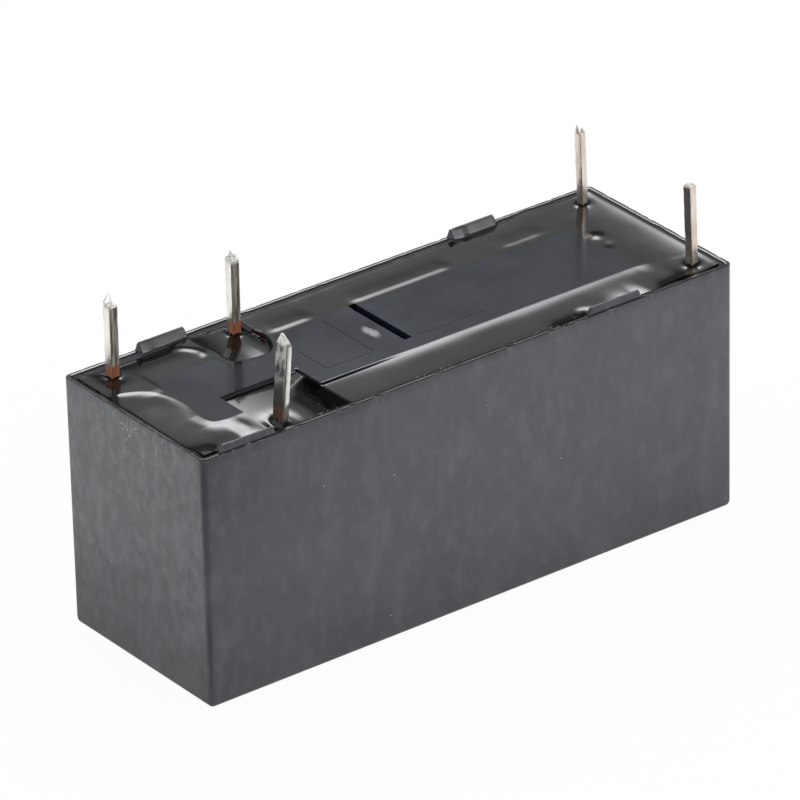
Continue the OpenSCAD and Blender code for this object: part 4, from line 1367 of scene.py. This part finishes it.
class RELAY_OT_coil_pins(bpy.types.Operator):
    """Builds the two coil pins."""

    bl_idname = "relay.coil_pins"
    bl_label = "Coil pins"

    def execute(self, context):
        sizes = context.scene.relay_pins
        tin = ("#eaded4", "#dccdc0", "#a89c92")
        wire = tinned_metal("copper_wire_tinned", tin, sizes, 0.0, 0.08, (0.3, 0.42))
        torn = [
            ((COIL_X - 0.21, ROW_Y + 0.06, TIP_Z - 0.4), (-0.01, 0.0, 0.4), (0.08, 0.09)),
            ((COIL_X - 0.04, ROW_Y - 0.07, TIP_Z - 0.37), (0.01, 0.0, 0.2), (0.09, 0.08)),
        ]
        turns = (COIL_LEAN, 10, sizes.wire_corner)
        # Node, side of the case, top, tip and burrs of each pin
        pins = (
            ("coil_pin_near", -1, TIP_Z, (0.16, blunt), []),
            ("coil_pin_far", 1, TIP_Z - 0.33, (0.12, sheared), torn),
        )
        for node, side, top, tip, burrs in pins:
            spot = (COIL_X, side * ROW_Y)
            # The near pin has the thicker coat of tin
            half = [h - 0.012 * side for h in WIRE_HALF]
            seed = 6.0 + side
            pin = build_pin(node + "_dipped", node, spot, half, top, turns, tip, burrs, sizes, wire, seed)
            place(pin, "tinned_wire", node)
        return {"FINISHED"}


class RELAY_OT_works(bpy.types.Operator):
    """Gives the sealed works inside their finishes."""

    bl_idname = "relay.works"
    bl_label = "Works"

    def execute(self, context):
        bronze = rolled_metal("bronze_rolled", "#b07c45", "#a06f3c", 0.3)
        brass = rolled_metal("brass_turned", "#c4a052", "#b59148", 0.28, 0.05)
        silver = rolled_metal("silver_alloy_polished", "#d9d6cd", "#c9c5ba", 0.18, 0.04)
        iron = rolled_metal("iron_nickel_plated", "#a7a5a0", "#94928d", 0.32, 0.1)
        solder = rolled_metal("tin_solder_bright", "#c4c5c7", "#aeb0b3", 0.22, 0.2)
        wire = enamelled_wire()
        finishes = {
            "nc_contact": silver,
            "no_contact": silver,
            "moving_contact": silver,
            "contact_spring": bronze,
            "armature_spring": bronze,
            "spring_rivets": brass,
            "armature_rivets": brass,
            "armature": iron,
            "yoke": iron,
            "core": iron,
            "actuator_card": natural_polyester("polyester_natural_card", "#d6cdb3", "#c8bd9f"),
            "bobbin": natural_polyester("polyester_natural_bobbin", "#e2d9c0", "#d5cab0"),
            "winding": wire,
            "coil_lead_near": wire,
            "coil_lead_far": wire,
            "coil_tape": amber_film(),
            "lead_joints": solder,
        }
        for node, material in finishes.items():
            frame["nodes"][node].material_slots[0].material = material
        return {"FINISHED"}


class RELAY_OT_stage(bpy.types.Operator):
    """Sets the floor, the light and the camera."""

    bl_idname = "relay.stage"
    bl_label = "Stage"

    def execute(self, context):
        sizes = context.scene.relay_stage
        side = sizes.floor
        z = -0.05 * MM
        mesh = bpy.data.meshes.new("floor")
        corners = [(-side, -side, z), (side, -side, z), (side, side, z), (-side, side, z)]
        mesh.from_pydata(corners, [], [(0, 1, 2, 3)])
        mesh.materials.append(floor_material())
        floor = bpy.data.objects.new("floor", mesh)
        context.scene.collection.objects.link(floor)
        build_world(sizes.ambient)
        middle = (0.0, 0.0, PANEL_Z * MM)
        for name, way, width, radiance in (
            ("softbox", SOFTBOX_WAY, sizes.softbox, sizes.radiance),
            ("fill", FILL_WAY, sizes.fill, sizes.fill_radiance),
        ):
            soft_lamp(name, Vector(middle) + Vector(way) * sizes.reach, middle, width, radiance)
        build_camera(sizes.lens)
        context.scene.view_settings.view_transform = "Standard"
        return {"FINISHED"}


class RELAY_PT_panel(bpy.types.Panel):
    """Lists the relay's pieces."""

    bl_idname = "RELAY_PT_panel"
    bl_label = "Relay"
    bl_space_type = "VIEW_3D"
    bl_region_type = "UI"
    bl_category = "Relay"

    def draw(self, context):
        for operator in OPERATORS:
            self.layout.operator(operator.bl_idname)


OPERATORS = (
    RELAY_OT_case,
    RELAY_OT_flash,
    RELAY_OT_base,
    RELAY_OT_resin,
    RELAY_OT_contact_pins,
    RELAY_OT_coil_pins,
    RELAY_OT_works,
    RELAY_OT_stage,
)
GROUPS = {
    "relay_case": CaseSizes,
    "relay_resin": ResinSizes,
    "relay_pins": PinSizes,
    "relay_panel": PanelSizes,
    "relay_stage": StageSizes,
}


def register():
    """Registers the classes and gives the scene its sizes."""
    for group in GROUPS.values():
        bpy.utils.register_class(group)
    for cls in (*OPERATORS, RELAY_PT_panel):
        bpy.utils.register_class(cls)
    for name, group in GROUPS.items():
        setattr(bpy.types.Scene, name, PointerProperty(type=group))


def unregister():
    """Takes back what register did."""
    for name in GROUPS:
        delattr(bpy.types.Scene, name)
    for cls in (RELAY_PT_panel, *reversed(OPERATORS)):
        bpy.utils.unregister_class(cls)
    for group in GROUPS.values():
        bpy.utils.unregister_class(group)


def main():
    """Builds the relay."""
    register()
    bpy.ops.relay.case()
    bpy.ops.relay.flash()
    bpy.ops.relay.base()
    bpy.ops.relay.resin()
    bpy.ops.relay.contact_pins()
    bpy.ops.relay.coil_pins()
    bpy.ops.relay.works()
    bpy.ops.relay.stage()


if __name__ == "__main__":
    main()
